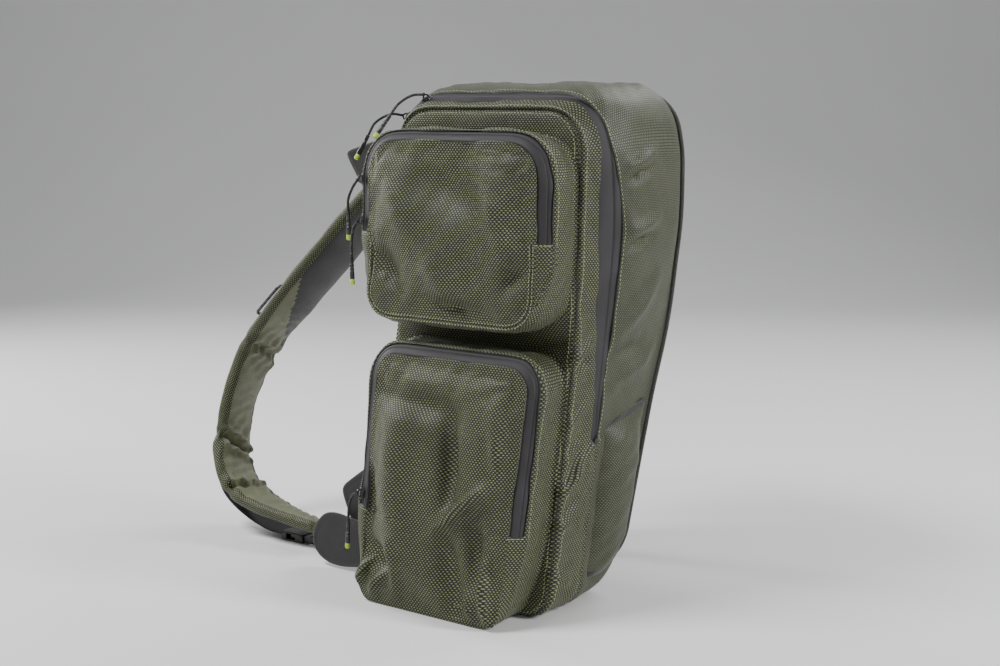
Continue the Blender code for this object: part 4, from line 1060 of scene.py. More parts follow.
def make_stage():
    """Floor, a soft light over and before the pack, and light from behind on both sides."""
    for obj in list(bpy.data.objects):
        if obj.type in ("LIGHT", "CAMERA"):
            bpy.data.objects.remove(obj)
    make_camera()
    turn = math.radians(CAMERA_TURN)
    away = Vector((-math.sin(turn), math.cos(turn), 0.0))
    wide = Vector((away.y, -away.x, 0.0))
    profile = [(-6.0, FLOOR_Z), (SWEEP_START, FLOOR_Z)]
    for step in range(1, 25):
        angle = math.pi / 2 * step / 24
        profile.append((SWEEP_START + SWEEP_RADIUS * math.sin(angle),
                        FLOOR_Z + SWEEP_RADIUS * (1 - math.cos(angle))))
    profile.append((SWEEP_START + SWEEP_RADIUS, 7.0))
    verts = [away * a + wide * side + Vector((0.0, 0.0, z)) for a, z in profile for side in (-9.0, 9.0)]
    faces = [(2 * k, 2 * k + 1, 2 * k + 3, 2 * k + 2) for k in range(len(profile) - 1)]
    mesh = bpy.data.meshes.new("floor")
    mesh.from_pydata([tuple(v) for v in verts], [], faces)
    mesh.materials.append(floor_finish())
    floor = new_object("floor", mesh)
    only(floor)
    bpy.ops.object.shade_smooth()
    world = bpy.data.worlds.new("studio")
    world.use_nodes = True
    world.node_tree.nodes["Background"].inputs["Color"].default_value = (0.9, 0.92, 0.95, 1.0)
    world.node_tree.nodes["Background"].inputs["Strength"].default_value = 0.14
    bpy.context.scene.world = world
    make_area("key", (-0.9, -1.1, 2.1), (0.0, 0.0, 0.22), (0.9, 0.7), look().key_power)
    make_area("side", (1.9, 0.5, 1.2), (0.0, 0.05, 0.28), (0.4, 0.9), 40.0)
    make_area("front", (1.3, -1.9, 0.8), (0.0, 0.0, 0.25), (0.6, 0.6), 6.0)
    make_area("left", (-1.9, 0.1, 1.0), (0.0, 0.0, 0.25), (0.4, 0.9), 22.0)
    make_area("behind", (0.2, 1.8, 1.8), (0.0, 0.05, 0.35), (1.2, 0.6), 24.0)


# Main pack

SECTIONS = [(lambda z: 0.0, 0.0, 0.0, 0.0), (strip_width, 0.26, 0.13, 0.0),
            (lambda z: strip_width(z) + 0.5 * MAIN_ZIP_WIDTH, 0.50, 0.37, 0.0),
            (lambda z: strip_width(z) + MAIN_ZIP_WIDTH, 0.70, 0.57, 0.0)]
SECTIONS += [(gusset_depth(share), bulge, rise, lift) for _, share, bulge, rise, lift in GUSSET]
ZIP_FRONT, ZIP_COIL, ZIP_BACK, BACK_SEAM = 1.0, 2.0, 3.0, 8.0


def pack_row(place):
    """Ring of the pack at a place among its sections, 0 at the front seam and 8 at the back seam."""
    low = min(int(place), len(SECTIONS) - 2)
    share = place - low
    rings = [pack_ring(*SECTIONS[k]) for k in (low, low + 1)]
    return [a.lerp(b, share) for a, b in zip(*rings)]


def outward(row, before, after):
    """Outward directions along a ring, from the rings on both sides of it."""
    result = []
    for k in range(len(row)):
        along = row[(k + 1) % len(row)] - row[k - 1]
        out = along.cross(after[k] - before[k])
        if out.dot(row[k] - PACK_MIDDLE) < 0:
            out.negate()
        result.append(out.normalized())
    return result


def pack_row_off(place, off, step=0.25):
    """Ring of the pack, pushed out by an amount."""
    row = pack_row(place)
    outs = outward(row, pack_row(max(place - step, 0.0)), pack_row(min(place + step, BACK_SEAM)))
    return [p + o * off for p, o in zip(row, outs)]


def strip_row(way, off, cap=0.6):
    """Ring on the woven strip at a distance behind the front seam, pushed out by an amount."""
    row, after = pack_row(0.0), pack_row(ZIP_FRONT)
    outs = outward(pack_row(0.5), row, after)
    result = []
    for a, b, out in zip(row, after, outs):
        long = (b - a).length
        result.append(a.lerp(b, min(way / long, cap)) + out * off)
    return result


ZIP_COVER = (
    # height, share of the front half and of the back half of the tape that the cloth covers
    (0.157, 0.80, 0.60), (0.180, 0.64, 0.42), (0.205, 0.50, 0.28), (0.250, 0.34, 0.10),
    (0.300, 0.22, 0.03), (0.360, 0.18, 0.02),
    (0.400, 0.30, 0.30), (0.430, 0.62, 0.62), (0.447, 0.76, 0.66),
)


def zip_cover(point, half):
    """How far the cloth laps over the main tape at a place of its ring: front 0, back 1."""
    table = [(row[0], row[1 + half]) for row in ZIP_COVER]
    side = table_value(table, point.z)
    top = 0.34 if half == 0 else 0.10
    flat = smooth_step((FRONT_WIDTH / 2 - 0.012 - abs(point.x)) / 0.035)
    if point.x < 0:
        side = min(side, 0.25)
    return side + (top - side) * flat if point.z > 0.42 else side


def zip_rings():
    """Rings of the main zip's front edge, middle and back edge, and its outward directions."""
    front, coil, back = (pack_row(place) for place in (ZIP_FRONT, ZIP_COIL, ZIP_BACK))
    return front, coil, back, outward(coil, front, back)


def main_zip_span():
    return zip_span(side_heights().index(MAIN_ZIP_END_Z), MAIN_COLUMNS, MAIN_ROWS)


def front_panel(inset, off):
    """Ring on the front panel, inside its seam, set back by an amount."""
    return [p + Vector((0.0, off, 0.0)) for p in pack_ring(lambda z: 0.0, 0.0, 0.0, 0.0, inset)]


def lap(rows, half):
    """Move rows of the pack beside the main tape over it, from its front half 0 or its back half 1."""
    front, coil, back, outs = zip_rings()
    edge = back if half else front
    shares = [zip_cover(point, half) for point in edge]
    return [[point + (coil[n] - edge[n]) * shares[n] + outs[n] * (LAP_LIFT * min(shares[n] * 3.0, 1.0))
             for n, point in enumerate(row)] for row in rows]


def folds_at(u, v, folds, wide=1.0, high=1.0):
    """Height of a table of soft ridges and furrows, each along a line, at chart places u and v."""
    total = np.zeros(len(u))
    for u0, v0, u1, v1, width, height in folds:
        du, dv = u1 - u0, v1 - v0
        long = max(math.hypot(du, dv), 1e-6)
        along = ((u - u0) * du + (v - v0) * dv) / long
        side = (-(u - u0) * dv + (v - v0) * du) / long
        over = np.maximum(np.maximum(-along, along - long), 0.0)
        taper = np.clip(np.minimum(along + 0.35 * long, 1.35 * long - along) / (0.7 * long), 0.0, 1.0)
        total += (high * height * taper * np.exp(-(side / (wide * width)) ** 2)
                  * np.exp(-(over / (1.5 * wide * width)) ** 2))
    return total


def waves(u, v, seed, sizes):
    """Gentle uneven swell of sewn cloth, the same at each run."""
    rng = np.random.default_rng(seed)
    total = np.zeros_like(u)
    for size, height in sizes:
        for _ in range(5):
            turn = rng.uniform(0, math.pi)
            phase = rng.uniform(0, 2 * math.pi)
            stretch = rng.uniform(0.7, 1.4)
            total += height * np.sin(2 * math.pi * (u * math.cos(turn) + v * math.sin(turn))
                                     / (size * stretch) + phase) / 5 ** 0.5
    return total


def build_pack():
    """Front panel, gusset and back, with the zip's slit and its turned-in edges."""
    cloth = Cloth()
    first, last = main_zip_span()
    along = way_along(pack_row(0.0))
    front_rows = [front_panel(inset, off) for inset, off in
                  ((0.0200, 0.0), (0.0110, 0.0004), (0.0060, 0.0012), (0.0034, 0.0022), (0.0018, 0.0040))]
    strip = [strip_row(0.0046, -0.0016, 0.25), strip_row(0.0062, 0.0008, 0.4), strip_row(0.0090, 0.0008),
             pack_row_off(0.72, 0.0)]
    strip += lap([pack_row_off(ZIP_FRONT - 0.07, 0.0010), pack_row_off(ZIP_FRONT, 0.0006)], 0)
    flank = lap([pack_row_off(ZIP_BACK, 0.0006), pack_row_off(ZIP_BACK + 0.16, 0.0012)], 1)
    flank += [pack_row_off(place, off) for place, off in
              ((4.0, 0.0), (5.0, 0.0), (6.0, 0.0), (7.0, 0.0), (7.86, 0.0004), (8.0, -0.0004))]
    centre = Vector((0.0, 0.0, FRONT_HEIGHT / 2 + BACK_BASE_RISE / 2))
    back_rows = []
    for amount, off in ((0.003, 0.0), (0.010, -0.0003)):
        row = []
        for point in pack_ring(*SECTIONS[-1]):
            way = Vector((centre.x - point.x, 0.0, centre.z - point.z)).normalized()
            moved = point + way * amount
            moved.y = back_of(moved.z) + off
            row.append(moved)
        back_rows.append(row)
    rings = front_rows + strip + [pack_row_off(ZIP_COIL, 0.0)] + flank + back_rows
    verts = [cloth.row(ring) for ring in rings]
    seam = len(front_rows)
    spans = distances(rings)
    slit_low = seam + len(strip) - 1
    slit_high = slit_low + 2
    back_start = slit_high + len(flank) - 1
    count = len(along) - 1

    def chart(k, r, n):
        if k < seam - 1 or k >= back_start:
            return rings[r][n % count].x, rings[r][n % count].z
        return spans[r][n % count] - spans[seam - 1][n % count], along[n]

    def slot(k, n):
        if k >= back_start:
            return 2
        return int(k >= slit_high)

    cloth.quads(verts, chart, slot, skip=lambda k, n: slit_low <= k < slit_high and first <= n < last)
    cloth.fill(front_rows[0], verts[0], MAIN_COLUMNS, MAIN_ROWS, lambda p: FRONT_Y + lean(p.z))
    cloth.fill(back_rows[-1], verts[-1], MAIN_COLUMNS, MAIN_ROWS, lambda p: back_of(p.z) - 0.0003, True, 2)

    # Edge of the slit, turned in
    places = list(range(first, last + 1)) + [last] + list(range(last, first - 1, -1)) + [first]
    rows = ([slit_low] * (last - first + 1) + [slit_low + 1] + [slit_high] * (last - first + 1)
            + [slit_low + 1])
    loop = [verts[row][n] for row, n in zip(rows, places)]
    _, coil, _, outs = zip_rings()
    inner = []
    for n, vert in zip(places, loop):
        side = coil[n] - vert.co
        side = side.normalized() * SLIT_LIP if side.length > 1e-5 else Vector()
        inner.append(cloth.bm.verts.new(vert.co - outs[n] * SLIT_DEEP + side))
    cloth.edge(loop, inner, 3)
    obj = cloth.done("pack_body", ("weave_soft", "weave_flank", "mesh_back", "binding"), DETAIL)
    fold_pack(obj)
    settle(obj, ["main_shell"])


PANEL_FOLDS = (
    # start x, z, end x, z, width, height, on the front panel
    (0.060, 0.262, 0.104, 0.285, 0.006, 0.0045),
    (0.050, 0.245, 0.104, 0.256, 0.005, -0.0042),
    (0.070, 0.225, 0.104, 0.212, 0.007, 0.0036),
    (-0.100, 0.262, -0.040, 0.252, 0.006, 0.0039),
    (-0.100, 0.240, -0.050, 0.244, 0.005, -0.0036),
    (0.090, 0.170, 0.104, 0.140, 0.006, 0.0033),
    (0.092, 0.120, 0.104, 0.085, 0.006, -0.0030),
)
FLANK_CREASES = (
    # side, start way, z, end way, z, width, height, on the flanks
    (1, 0.004, 0.236, 0.040, 0.262, 0.0044, 0.0048),
    (1, 0.002, 0.222, 0.036, 0.240, 0.0042, -0.0046),
    (1, 0.006, 0.175, 0.036, 0.200, 0.0044, 0.0042),
    (1, 0.004, 0.150, 0.032, 0.166, 0.0042, -0.0040),
    (1, 0.004, 0.120, 0.040, 0.136, 0.0055, 0.0030),
    (1, 0.050, 0.400, 0.076, 0.409, 0.0040, -0.0062),
    (1, 0.050, 0.412, 0.084, 0.423, 0.0050, 0.0048),
    (1, 0.056, 0.338, 0.088, 0.347, 0.0042, -0.0068),
    (1, 0.056, 0.352, 0.094, 0.364, 0.0058, 0.0052),
    (1, 0.060, 0.255, 0.110, 0.300, 0.0100, 0.0059),
    (1, 0.060, 0.232, 0.100, 0.246, 0.0070, -0.0049),
    (1, 0.070, 0.205, 0.130, 0.236, 0.0080, 0.0049),
    (1, 0.010, 0.100, 0.060, 0.070, 0.0070, -0.0032),
    (1, 0.003, 0.112, 0.044, 0.152, 0.0046, 0.0030),
    (1, 0.006, 0.126, 0.040, 0.162, 0.0036, -0.0040),
    (1, 0.003, 0.082, 0.038, 0.100, 0.0040, 0.0036),
    (1, 0.003, 0.092, 0.034, 0.112, 0.0036, -0.0030),
    (1, 0.003, 0.040, 0.034, 0.030, 0.0050, 0.0036),
    (1, 0.003, 0.052, 0.030, 0.046, 0.0040, -0.0032),
    (-1, 0.060, 0.390, 0.110, 0.402, 0.0080, -0.0046),
    (-1, 0.060, 0.300, 0.120, 0.322, 0.0090, 0.0054),
    (-1, 0.050, 0.236, 0.120, 0.250, 0.0080, -0.0054),
    (-1, 0.040, 0.190, 0.110, 0.175, 0.0080, 0.0046),
)


def fold_pack(obj):
    """Folds, creases and slack of the pack's cloth."""
    places, normals = vertex_data(obj)
    x, z = places[:, 0], places[:, 2]
    deep = each(depth_at, z)
    way = places[:, 1] - FRONT_Y - each(lean, z)
    front = np.clip(1.0 - way / 0.0025, 0.0, 1.0)
    rear = np.clip((way - deep + 0.006) / 0.006, 0.0, 1.0)
    flank = np.clip(np.abs(normals[:, 0]) * 1.6, 0.0, 1.0) * (1 - front) * (1 - rear)
    push = front * folds_at(x, z, PANEL_FOLDS)
    for side, *fold in FLANK_CREASES:
        push += (side * x > 0) * flank * folds_at(way, z, (fold,))
    zip_front = each(strip_width, z)
    push *= 1.0 - 0.9 * (x > 0) * flank * np.exp(-((way - zip_front - 0.002) / 0.006) ** 2)
    hem = HEM_Z + HEM_SLOPE * np.clip(way - 0.004, 0.0, 0.045)
    below = np.clip((hem - z) / 0.0024, 0.0, 1.0) * np.clip(way / 0.006, 0.0, 1.0)
    push += (x > 0) * flank * (way < HEM_END) * HEM_LIFT * below * np.clip(z / 0.02, 0.0, 1.0)
    steady = np.clip(z / 0.03, 0.0, 1.0)
    soft = waves(x + 0.7 * way, z + 0.3 * way, 7, ((0.062, 0.0009), (0.027, 0.0004)))
    near_seam = np.clip((deep - way) / 0.030, 0.15, 1.0)
    push += (1 - rear) * soft * steady * near_seam * np.clip(way / 0.004 + 0.5 * front, 0.0, 1.0)
    push = np.where(z < 0.004, 0.0, push)
    move_vertices(obj, places + normals * (push * look().fold_depth)[:, None])


def build_tape(name, node, lines, along, shares, width):
    """A coated tape along rows of points, with the groove where its two halves meet."""
    for line in lines:
        for end, inner in ((0, 1), (-1, -2)):
            line[end] = line[end] + (line[end] - line[inner]).normalized() * TAPE_TAIL
    cloth = Cloth()
    cloth.quads([cloth.row(line) for line in lines], lambda k, r, n: (along[n], shares[r][0] * width),
                closed=False)
    obj = cloth.piece(name, ("tape",))
    outer_side(obj)
    subdivide(obj, 3)
    settle(obj, [node])


def build_main_zip():
    """The coated tape in the main slit."""
    first, last = main_zip_span()
    shares = ((-0.10, -0.0034), (0.0, -0.0016), (0.10, -0.0004), (0.32, 0.0004), (0.615, 0.0003),
              (0.645, -0.0012), (0.675, 0.0003), (0.82, 0.0004), (0.91, -0.0004), (1.0, -0.0016),
              (1.10, -0.0034))
    front, coil, back, outs = zip_rings()
    lines = []
    for share, off in shares:
        line = []
        for n in range(first, last + 1):
            if share <= 0.5:
                point = front[n] + (coil[n] - front[n]) * (2 * share)
            else:
                point = coil[n] + (back[n] - coil[n]) * (2 * share - 1)
            line.append(point + outs[n] * off)
        lines.append(line)
    build_tape("main_zip_tape", "main_zip", lines, way_along(coil)[first:], shares, MAIN_ZIP_WIDTH)


def outer_side(obj):
    """Turn an open strip's faces outward from the middle of the pack."""
    mesh = obj.data
    votes = sum((1 if p.normal.dot(p.center - PACK_MIDDLE) > 0 else -1) * p.area for p in mesh.polygons)
    if votes < 0:
        mesh.flip_normals()


# Front pockets


class Pocket:
    """Sizes of one front pocket and its surface."""

    def __init__(self, name, width, low, high, depth, corner, zip_end, shift, base, narrow, dents,
                 side_rows, left_inset=0.0, end_rows=()):
        self.name, self.width, self.low, self.high, self.depth = name, width, low, high, depth
        self.corner, self.zip_end, self.shift, self.base = corner, zip_end, shift, base
        self.narrow, self.dents, self.left_inset = narrow, dents, left_inset
        self.columns = POCKET_ACROSS + 1 + 2 * ARC_STEPS
        below = list(np.linspace(low + POCKET_ROOM * corner, zip_end, side_rows[0] + 1))
        above = list(np.linspace(zip_end, high - POCKET_ROOM * corner, side_rows[1] + 1))[1:]
        self.heights = sorted([float(z) for z in below + above] + [zip_end + step for step in end_rows])
        self.rows = len(self.heights) + 1 + 2 * ARC_STEPS
        self.first, self.last = zip_span(self.heights.index(zip_end), self.columns, self.rows)

    def face_half(self, z):
        """Half width of the face at a height."""
        up = min(max((z - self.low) / (self.high - self.low), 0.0), 1.0)
        return self.width / 2 - self.narrow * (1.0 - up)

    def reach(self, z):
        """Share of an outline's growth at a height: less below the zip's end."""
        return LOW_REACH + (1.0 - LOW_REACH) * smooth_step((z - self.low) / (self.zip_end - self.low))

    def ring(self, grow, way):
        """Outline grown by an amount, at a way forward of the front panel."""
        low_reach, top_reach = (LOW_REACH, TOP_REACH) if grow > 0 else (1.0, 1.0)
        low = max(self.low - low_reach * grow, 0.0)
        high = self.high + top_reach * grow

        def half_at(z):
            return self.face_half(z) + grow * (self.reach(z) if grow > 0 else 1.0)

        flat = rounded_ring(half_at(low), half_at(high), low, high, self.corner + low_reach * grow,
                            self.corner + grow, self.heights, half_at, POCKET_ACROSS)
        across = self.shift * way / self.depth
        inset = 0.0
        if way > 0.3 * self.depth:
            inset = self.left_inset * min(max(1.0 - grow / (BAND_RIM * BAND_OUT), 0.0), 1.0)
        result = []
        for x, z in flat:
            left = smooth_step((-x / self.face_half(z) - 0.72) / 0.2) * smooth_step((z - self.low) / 0.06)
            result.append(Vector((x + across + inset * left, FRONT_Y + lean(z) - way, z)))
        return result

    def band(self, run, off=0.0):
        """Ring on the slanted band, at a run from the face's edge, pushed out by an amount."""
        ring = self.ring(run * BAND_OUT, self.depth - run * BAND_BACK)
        wide = self.ring(run * BAND_OUT + 0.001, self.depth - run * BAND_BACK)
        result = []
        for point, grown in zip(ring, wide):
            away = grown - point
            away = away.normalized() if away.length > 1e-9 else Vector()
            result.append(point + away * (off * BAND_BACK) + Vector((0.0, -off * BAND_OUT, 0.0)))
        return result

    def gusset(self, share, off=0.0):
        """Ring on the gusset, from the band's outer edge at 0 to the front panel at 1."""
        start, way = BAND_RIM * BAND_OUT, self.depth - BAND_RIM * BAND_BACK
        grow = start + (self.base - start) * max(2 * share - 1, 0.0)
        return self.ring(grow + off, way + (CLEAR - way) * share)

    def slit_rings(self):
        return self.band(BAND_LIP), self.band(BAND_LIP + POCKET_ZIP_WIDTH)

    def inside(self, x, z, low):
        """How far points lie inside the face's edges, the low one at a height."""
        half = each(self.face_half, z)
        return np.minimum(half - np.abs(x - self.shift), np.minimum(self.high - z, z - low))

    def crown(self, x, z):
        """Forward push of the crowned face and its dents."""
        middle = (self.low + self.high) / 2
        tall = (self.high - self.low) / 2
        u = (x - self.shift) / self.face_half(z)
        v = (z - middle) / tall
        crown = max(1 - u ** 4, 0.0) * max(1 - v ** 4, 0.0)
        push = crown
        for across, up, wide, high, tilt, deep in self.dents:
            turn = math.radians(tilt)
            du = (u - across) * self.width / 2
            dv = (v - (2 * up - 1)) * tall
            right = du * math.cos(turn) + dv * math.sin(turn)
            rise = -du * math.sin(turn) + dv * math.cos(turn)
            away = (right / (wide * self.width / 2)) ** 2 + (rise / (high * 2 * tall)) ** 2
            push -= deep * crown * math.exp(-1.5 * away)
        return FACE_CROWN * push


UPPER_SIZES = ("upper_pocket", 0.197, 0.265, 0.433, 0.050, 0.030, 0.345, -0.0033, 0.003, 0.0,
               UPPER_DENTS, (2, 2))
LOWER_SIZES = ("lower_pocket", 0.176, 0.0, 0.2325, 0.048, 0.020, 0.085, 0.003, 0.010, 0.0045,
               LOWER_DENTS, (2, 5))
UPPER = Pocket(*UPPER_SIZES)
LOWER = Pocket(*LOWER_SIZES)
UPPER_CLOTH = Pocket(*UPPER_SIZES, left_inset=0.0050, end_rows=(-0.0035, -0.0010, 0.0010, 0.0040))
LOWER_CLOTH = Pocket(*LOWER_SIZES, left_inset=0.0022, end_rows=(-0.0035, -0.0010, 0.0010, 0.0040))

UPPER_FOLDS = (
    # start x, z, end x, z, width, height
    (-0.085, 0.330, -0.060, 0.295, 0.018, -0.0091),
    (-0.035, 0.284, 0.045, 0.280, 0.009, -0.0056),
    (-0.030, 0.405, 0.030, 0.375, 0.024, -0.0084),
    (0.020, 0.330, 0.045, 0.300, 0.016, -0.0042),
    (0.062, 0.300, 0.080, 0.325, 0.010, -0.0050),
    (-0.065, 0.405, -0.040, 0.345, 0.018, 0.0050),
    (0.050, 0.400, 0.062, 0.340, 0.013, 0.0045),
    (-0.020, 0.330, 0.000, 0.300, 0.014, 0.0034),
)
LOWER_FOLDS = (
    # start x, z, end x, z, width, height
    (-0.060, 0.196, 0.020, 0.186, 0.013, -0.0065),
    (0.012, 0.178, 0.022, 0.108, 0.0095, -0.0101),
    (-0.045, 0.170, -0.036, 0.060, 0.020, 0.0086),
    (-0.036, 0.060, -0.030, 0.022, 0.007, 0.0052),
    (0.060, 0.122, 0.012, 0.082, 0.0065, 0.0081),
    (0.018, 0.082, 0.040, 0.018, 0.015, -0.0094),
    (0.052, 0.104, 0.058, 0.040, 0.010, -0.0065),
    (-0.080, 0.056, -0.040, 0.036, 0.013, -0.0075),
    (-0.076, 0.120, -0.074, 0.070, 0.008, -0.0052),
    (-0.083, 0.016, -0.066, 0.040, 0.0045, 0.0055),
    (-0.060, 0.012, -0.045, 0.034, 0.0055, 0.0047),
    (0.076, 0.006, 0.066, 0.060, 0.0055, 0.0062),
    (0.060, 0.004, 0.048, 0.034, 0.0055, 0.0047),
    (0.064, 0.200, 0.074, 0.130, 0.010, 0.0044),
)


def build_pocket(pocket, folds, seed):
    """A pocket's crowned face and gusset, with the zip's slit and its turned-in edges."""
    cloth = Cloth()
    first, last = pocket.first, pocket.last
    outer = BAND_LIP + POCKET_ZIP_WIDTH
    rings = [pocket.ring(grow, pocket.depth + off) for grow, off in
             ((-0.0120, 0.0), (-0.0055, 0.0003), (-0.0015, 0.0002))]
    rings += [pocket.band(run, off) for run, off in
              ((0.0002, 0.0002), (0.0010, 0.0002), (outer + 0.0006, 0.0005), (outer + 0.0020, 0.0008))]
    rings += [pocket.gusset(share, off) for share, off in
              ((0.01, 0.0016), (0.07, 0.0020), (0.12, 0.0004), (0.18, -0.0016), (0.45, 0.0004), (0.80, 0.0),
               (0.90, 0.0006), (0.965, 0.0022), (1.0, 0.0052))]
    for ring, share in ((rings[0], 0.55), (rings[1], 0.2)):
        for point in ring:
            point.y -= share * pocket.crown(point.x, point.z)
    count = len(rings[0])
    along = way_along(rings[FACE_ROWS])
    spans = distances(rings)
    verts = [cloth.row(ring) for ring in rings]

    def chart(k, r, n):
        if k < FACE_ROWS:
            return rings[r][n % count].x, rings[r][n % count].z
        return spans[r][n % count], along[n]

    cloth.quads(verts, chart, lambda k, n: int(k > SLIT_ROW),
                skip=lambda k, n: k == SLIT_ROW and first <= n < last)
    cloth.fill(rings[0], verts[0], pocket.columns, pocket.rows,
               lambda p: FRONT_Y + lean(p.z) - pocket.depth - pocket.crown(p.x, p.z))

    # Edges of the slit, turned in under the cloth
    low, high = (verts[row][first:last + 1] for row in (SLIT_ROW, SLIT_ROW + 1))
    inner, beyond = (cloth.row(pocket.band(run, off)[first:last + 1])
                     for run, off in ((0.0014, -0.0014), (outer + 0.0002, -0.0012)))
    cloth.edge(low + high[::-1], inner + beyond[::-1], 2)
    obj = cloth.done(pocket.name + "_cloth", ("weave", "weave_soft", "binding"), DETAIL - 1)

    # First folds, then the simulation, and the same folds again where it smoothed them
    places, normals = vertex_data(obj)
    x, z = places[:, 0], places[:, 2]
    forward = FRONT_Y + each(lean, z) - places[:, 1]
    face = np.clip((forward - pocket.depth + 0.003) / 0.003, 0.0, 1.0)
    soft = waves(x, z + forward, seed, ((0.055, 0.0008), (0.024, 0.0004)))
    push = face * folds_at(x, z, folds) + soft * np.clip(forward / 0.01, 0.0, 1.0)
    push = np.where(z < 0.004, 0.0, push)
    places += normals * (push * look().fold_depth)[:, None]
    move_vertices(obj, places)
    loose = face * np.clip((pocket.inside(x, z, pocket.low) - 0.004) / 0.006, 0.0, 1.0)
    depth = forward / pocket.depth
    wall = np.clip((depth - 0.12) / 0.1, 0.0, 1.0) * np.clip((0.60 - depth) / 0.1, 0.0, 1.0)
    loose = np.maximum(loose, 0.8 * wall * np.clip((z - 0.012) / 0.01, 0.0, 1.0))
    drape(obj, 1.0 - loose)
    subdivide(obj, 1)
    places, normals = vertex_data(obj)
    x, z = places[:, 0], places[:, 2]
    forward = FRONT_Y + each(lean, z) - places[:, 1]
    face = np.clip((forward - pocket.depth + 0.006) / 0.004, 0.0, 1.0)
    push = face * folds_at(x, z, folds, 0.75, 0.60) * look().fold_depth
    push *= np.clip(pocket.inside(x, z, 0.006) / 0.008, 0.0, 1.0)
    move_vertices(obj, places + normals * push[:, None])
    settle(obj, [pocket.name])


def build_pocket_zip(pocket):
    """A pocket's coated tape."""
    first, last = pocket.first, pocket.last
    shares = ((-0.20, -0.0034), (-0.08, -0.0018), (0.03, -0.0008), (0.25, -0.0003), (0.60, -0.0003),
              (0.655, -0.0014), (0.71, -0.0003), (0.88, -0.0004), (0.98, -0.0010), (1.06, -0.0018),
              (1.16, -0.0034))
    rings = [pocket.band(BAND_LIP + POCKET_ZIP_WIDTH * share, off) for share, off in shares]
    build_tape(pocket.name + "_tape", pocket.name + "_zip", [ring[first:last + 1] for ring in rings],
               way_along(rings[4])[first:], shares, POCKET_ZIP_WIDTH)


# Seams


def part_of(ring, start, end):
    """Points of a closed ring from one index to another, passing its first point where needed."""
    return ring[start:end] if start < end else ring[start:] + ring[:end]


def build_seams():
    """Rows of stitches beside the seams, near-black rows among them as painted shade, and the lap of cloth
    at the end of the upper zip.
    """
    pack, upper, lower = (bpy.data.objects[name] for name in
                          ("pack_body", "upper_pocket_cloth", "lower_pocket_cloth"))
    tree = surface_tree(pack)
    # Near-black stitches in the front seam's groove: painted shade of the groove.
    stitches("panel_seam_dark", [(strip_row(0.0042, -0.0010, 0.25), True)], tree, "thread_dark", 1.15,
             0.0012, 0.00075)
    stitches("panel_seam_light", [(front_panel(0.0052, 0.0030), True), (strip_row(0.0088, 0.0008), True)],
             tree)
    edge = lap([pack_row_off(ZIP_BACK + 0.10, 0.0012)], 1)[0]
    first, last = main_zip_span()
    build_ear(upper)
    stitches("main_zip_seam", [(edge[first:last + 1], False)], tree)
    for cloth, pocket in ((upper, UPPER_CLOTH), (lower, LOWER_CLOTH)):
        tree = surface_tree(cloth)
        band = BAND_LIP + POCKET_ZIP_WIDTH
        lines = [(part_of(pocket.gusset(0.10, 0.0012), pocket.first, pocket.last + 1), False)]
        for index in (pocket.first, pocket.last):
            across = [pocket.band(run, 0.0005)[index] for run in (BAND_LIP * 0.2, BAND_LIP + band * 0.5,
                                                                  band + 0.003)]
            lines.append(([p + Vector((0.0, 0.0, -0.0016)) for p in across], False))
        stitches(pocket.name + "_seam", lines, tree)
    tree = surface_tree(upper)
    # The middle row is near-black: painted shade beside the pocket face's rolled edge.
    for name, inset, mat, thick in (("edge_a", 0.0018, "thread_light", 0.00058),
                                    ("edge_b", 0.0036, "thread_dark", 0.00080),
                                    ("edge_c", 0.0054, "thread_light", 0.00050)):
        ring = UPPER_CLOTH.ring(-inset, UPPER_CLOTH.depth + 0.001)
        line = part_of(ring, UPPER_CLOTH.last, UPPER_CLOTH.first + 1)
        stitches("upper_pocket_" + name, [(line, False)], tree, mat, 0.9, 0.0010, thick)


def side_point(ring, z):
    """Place on the right side of a closed ring at a height."""
    right = max(p.x for p in ring) - 0.03
    for a, b in zip(ring, ring[1:] + ring[:1]):
        if min(a.x, b.x) > right and min(a.z, b.z) <= z <= max(a.z, b.z) and abs(b.z - a.z) > 1e-7:
            return a.lerp(b, (z - a.z) / (b.z - a.z))
    return min(ring, key=lambda p: abs(p.z - z) + (0.0 if p.x > right else 1.0))


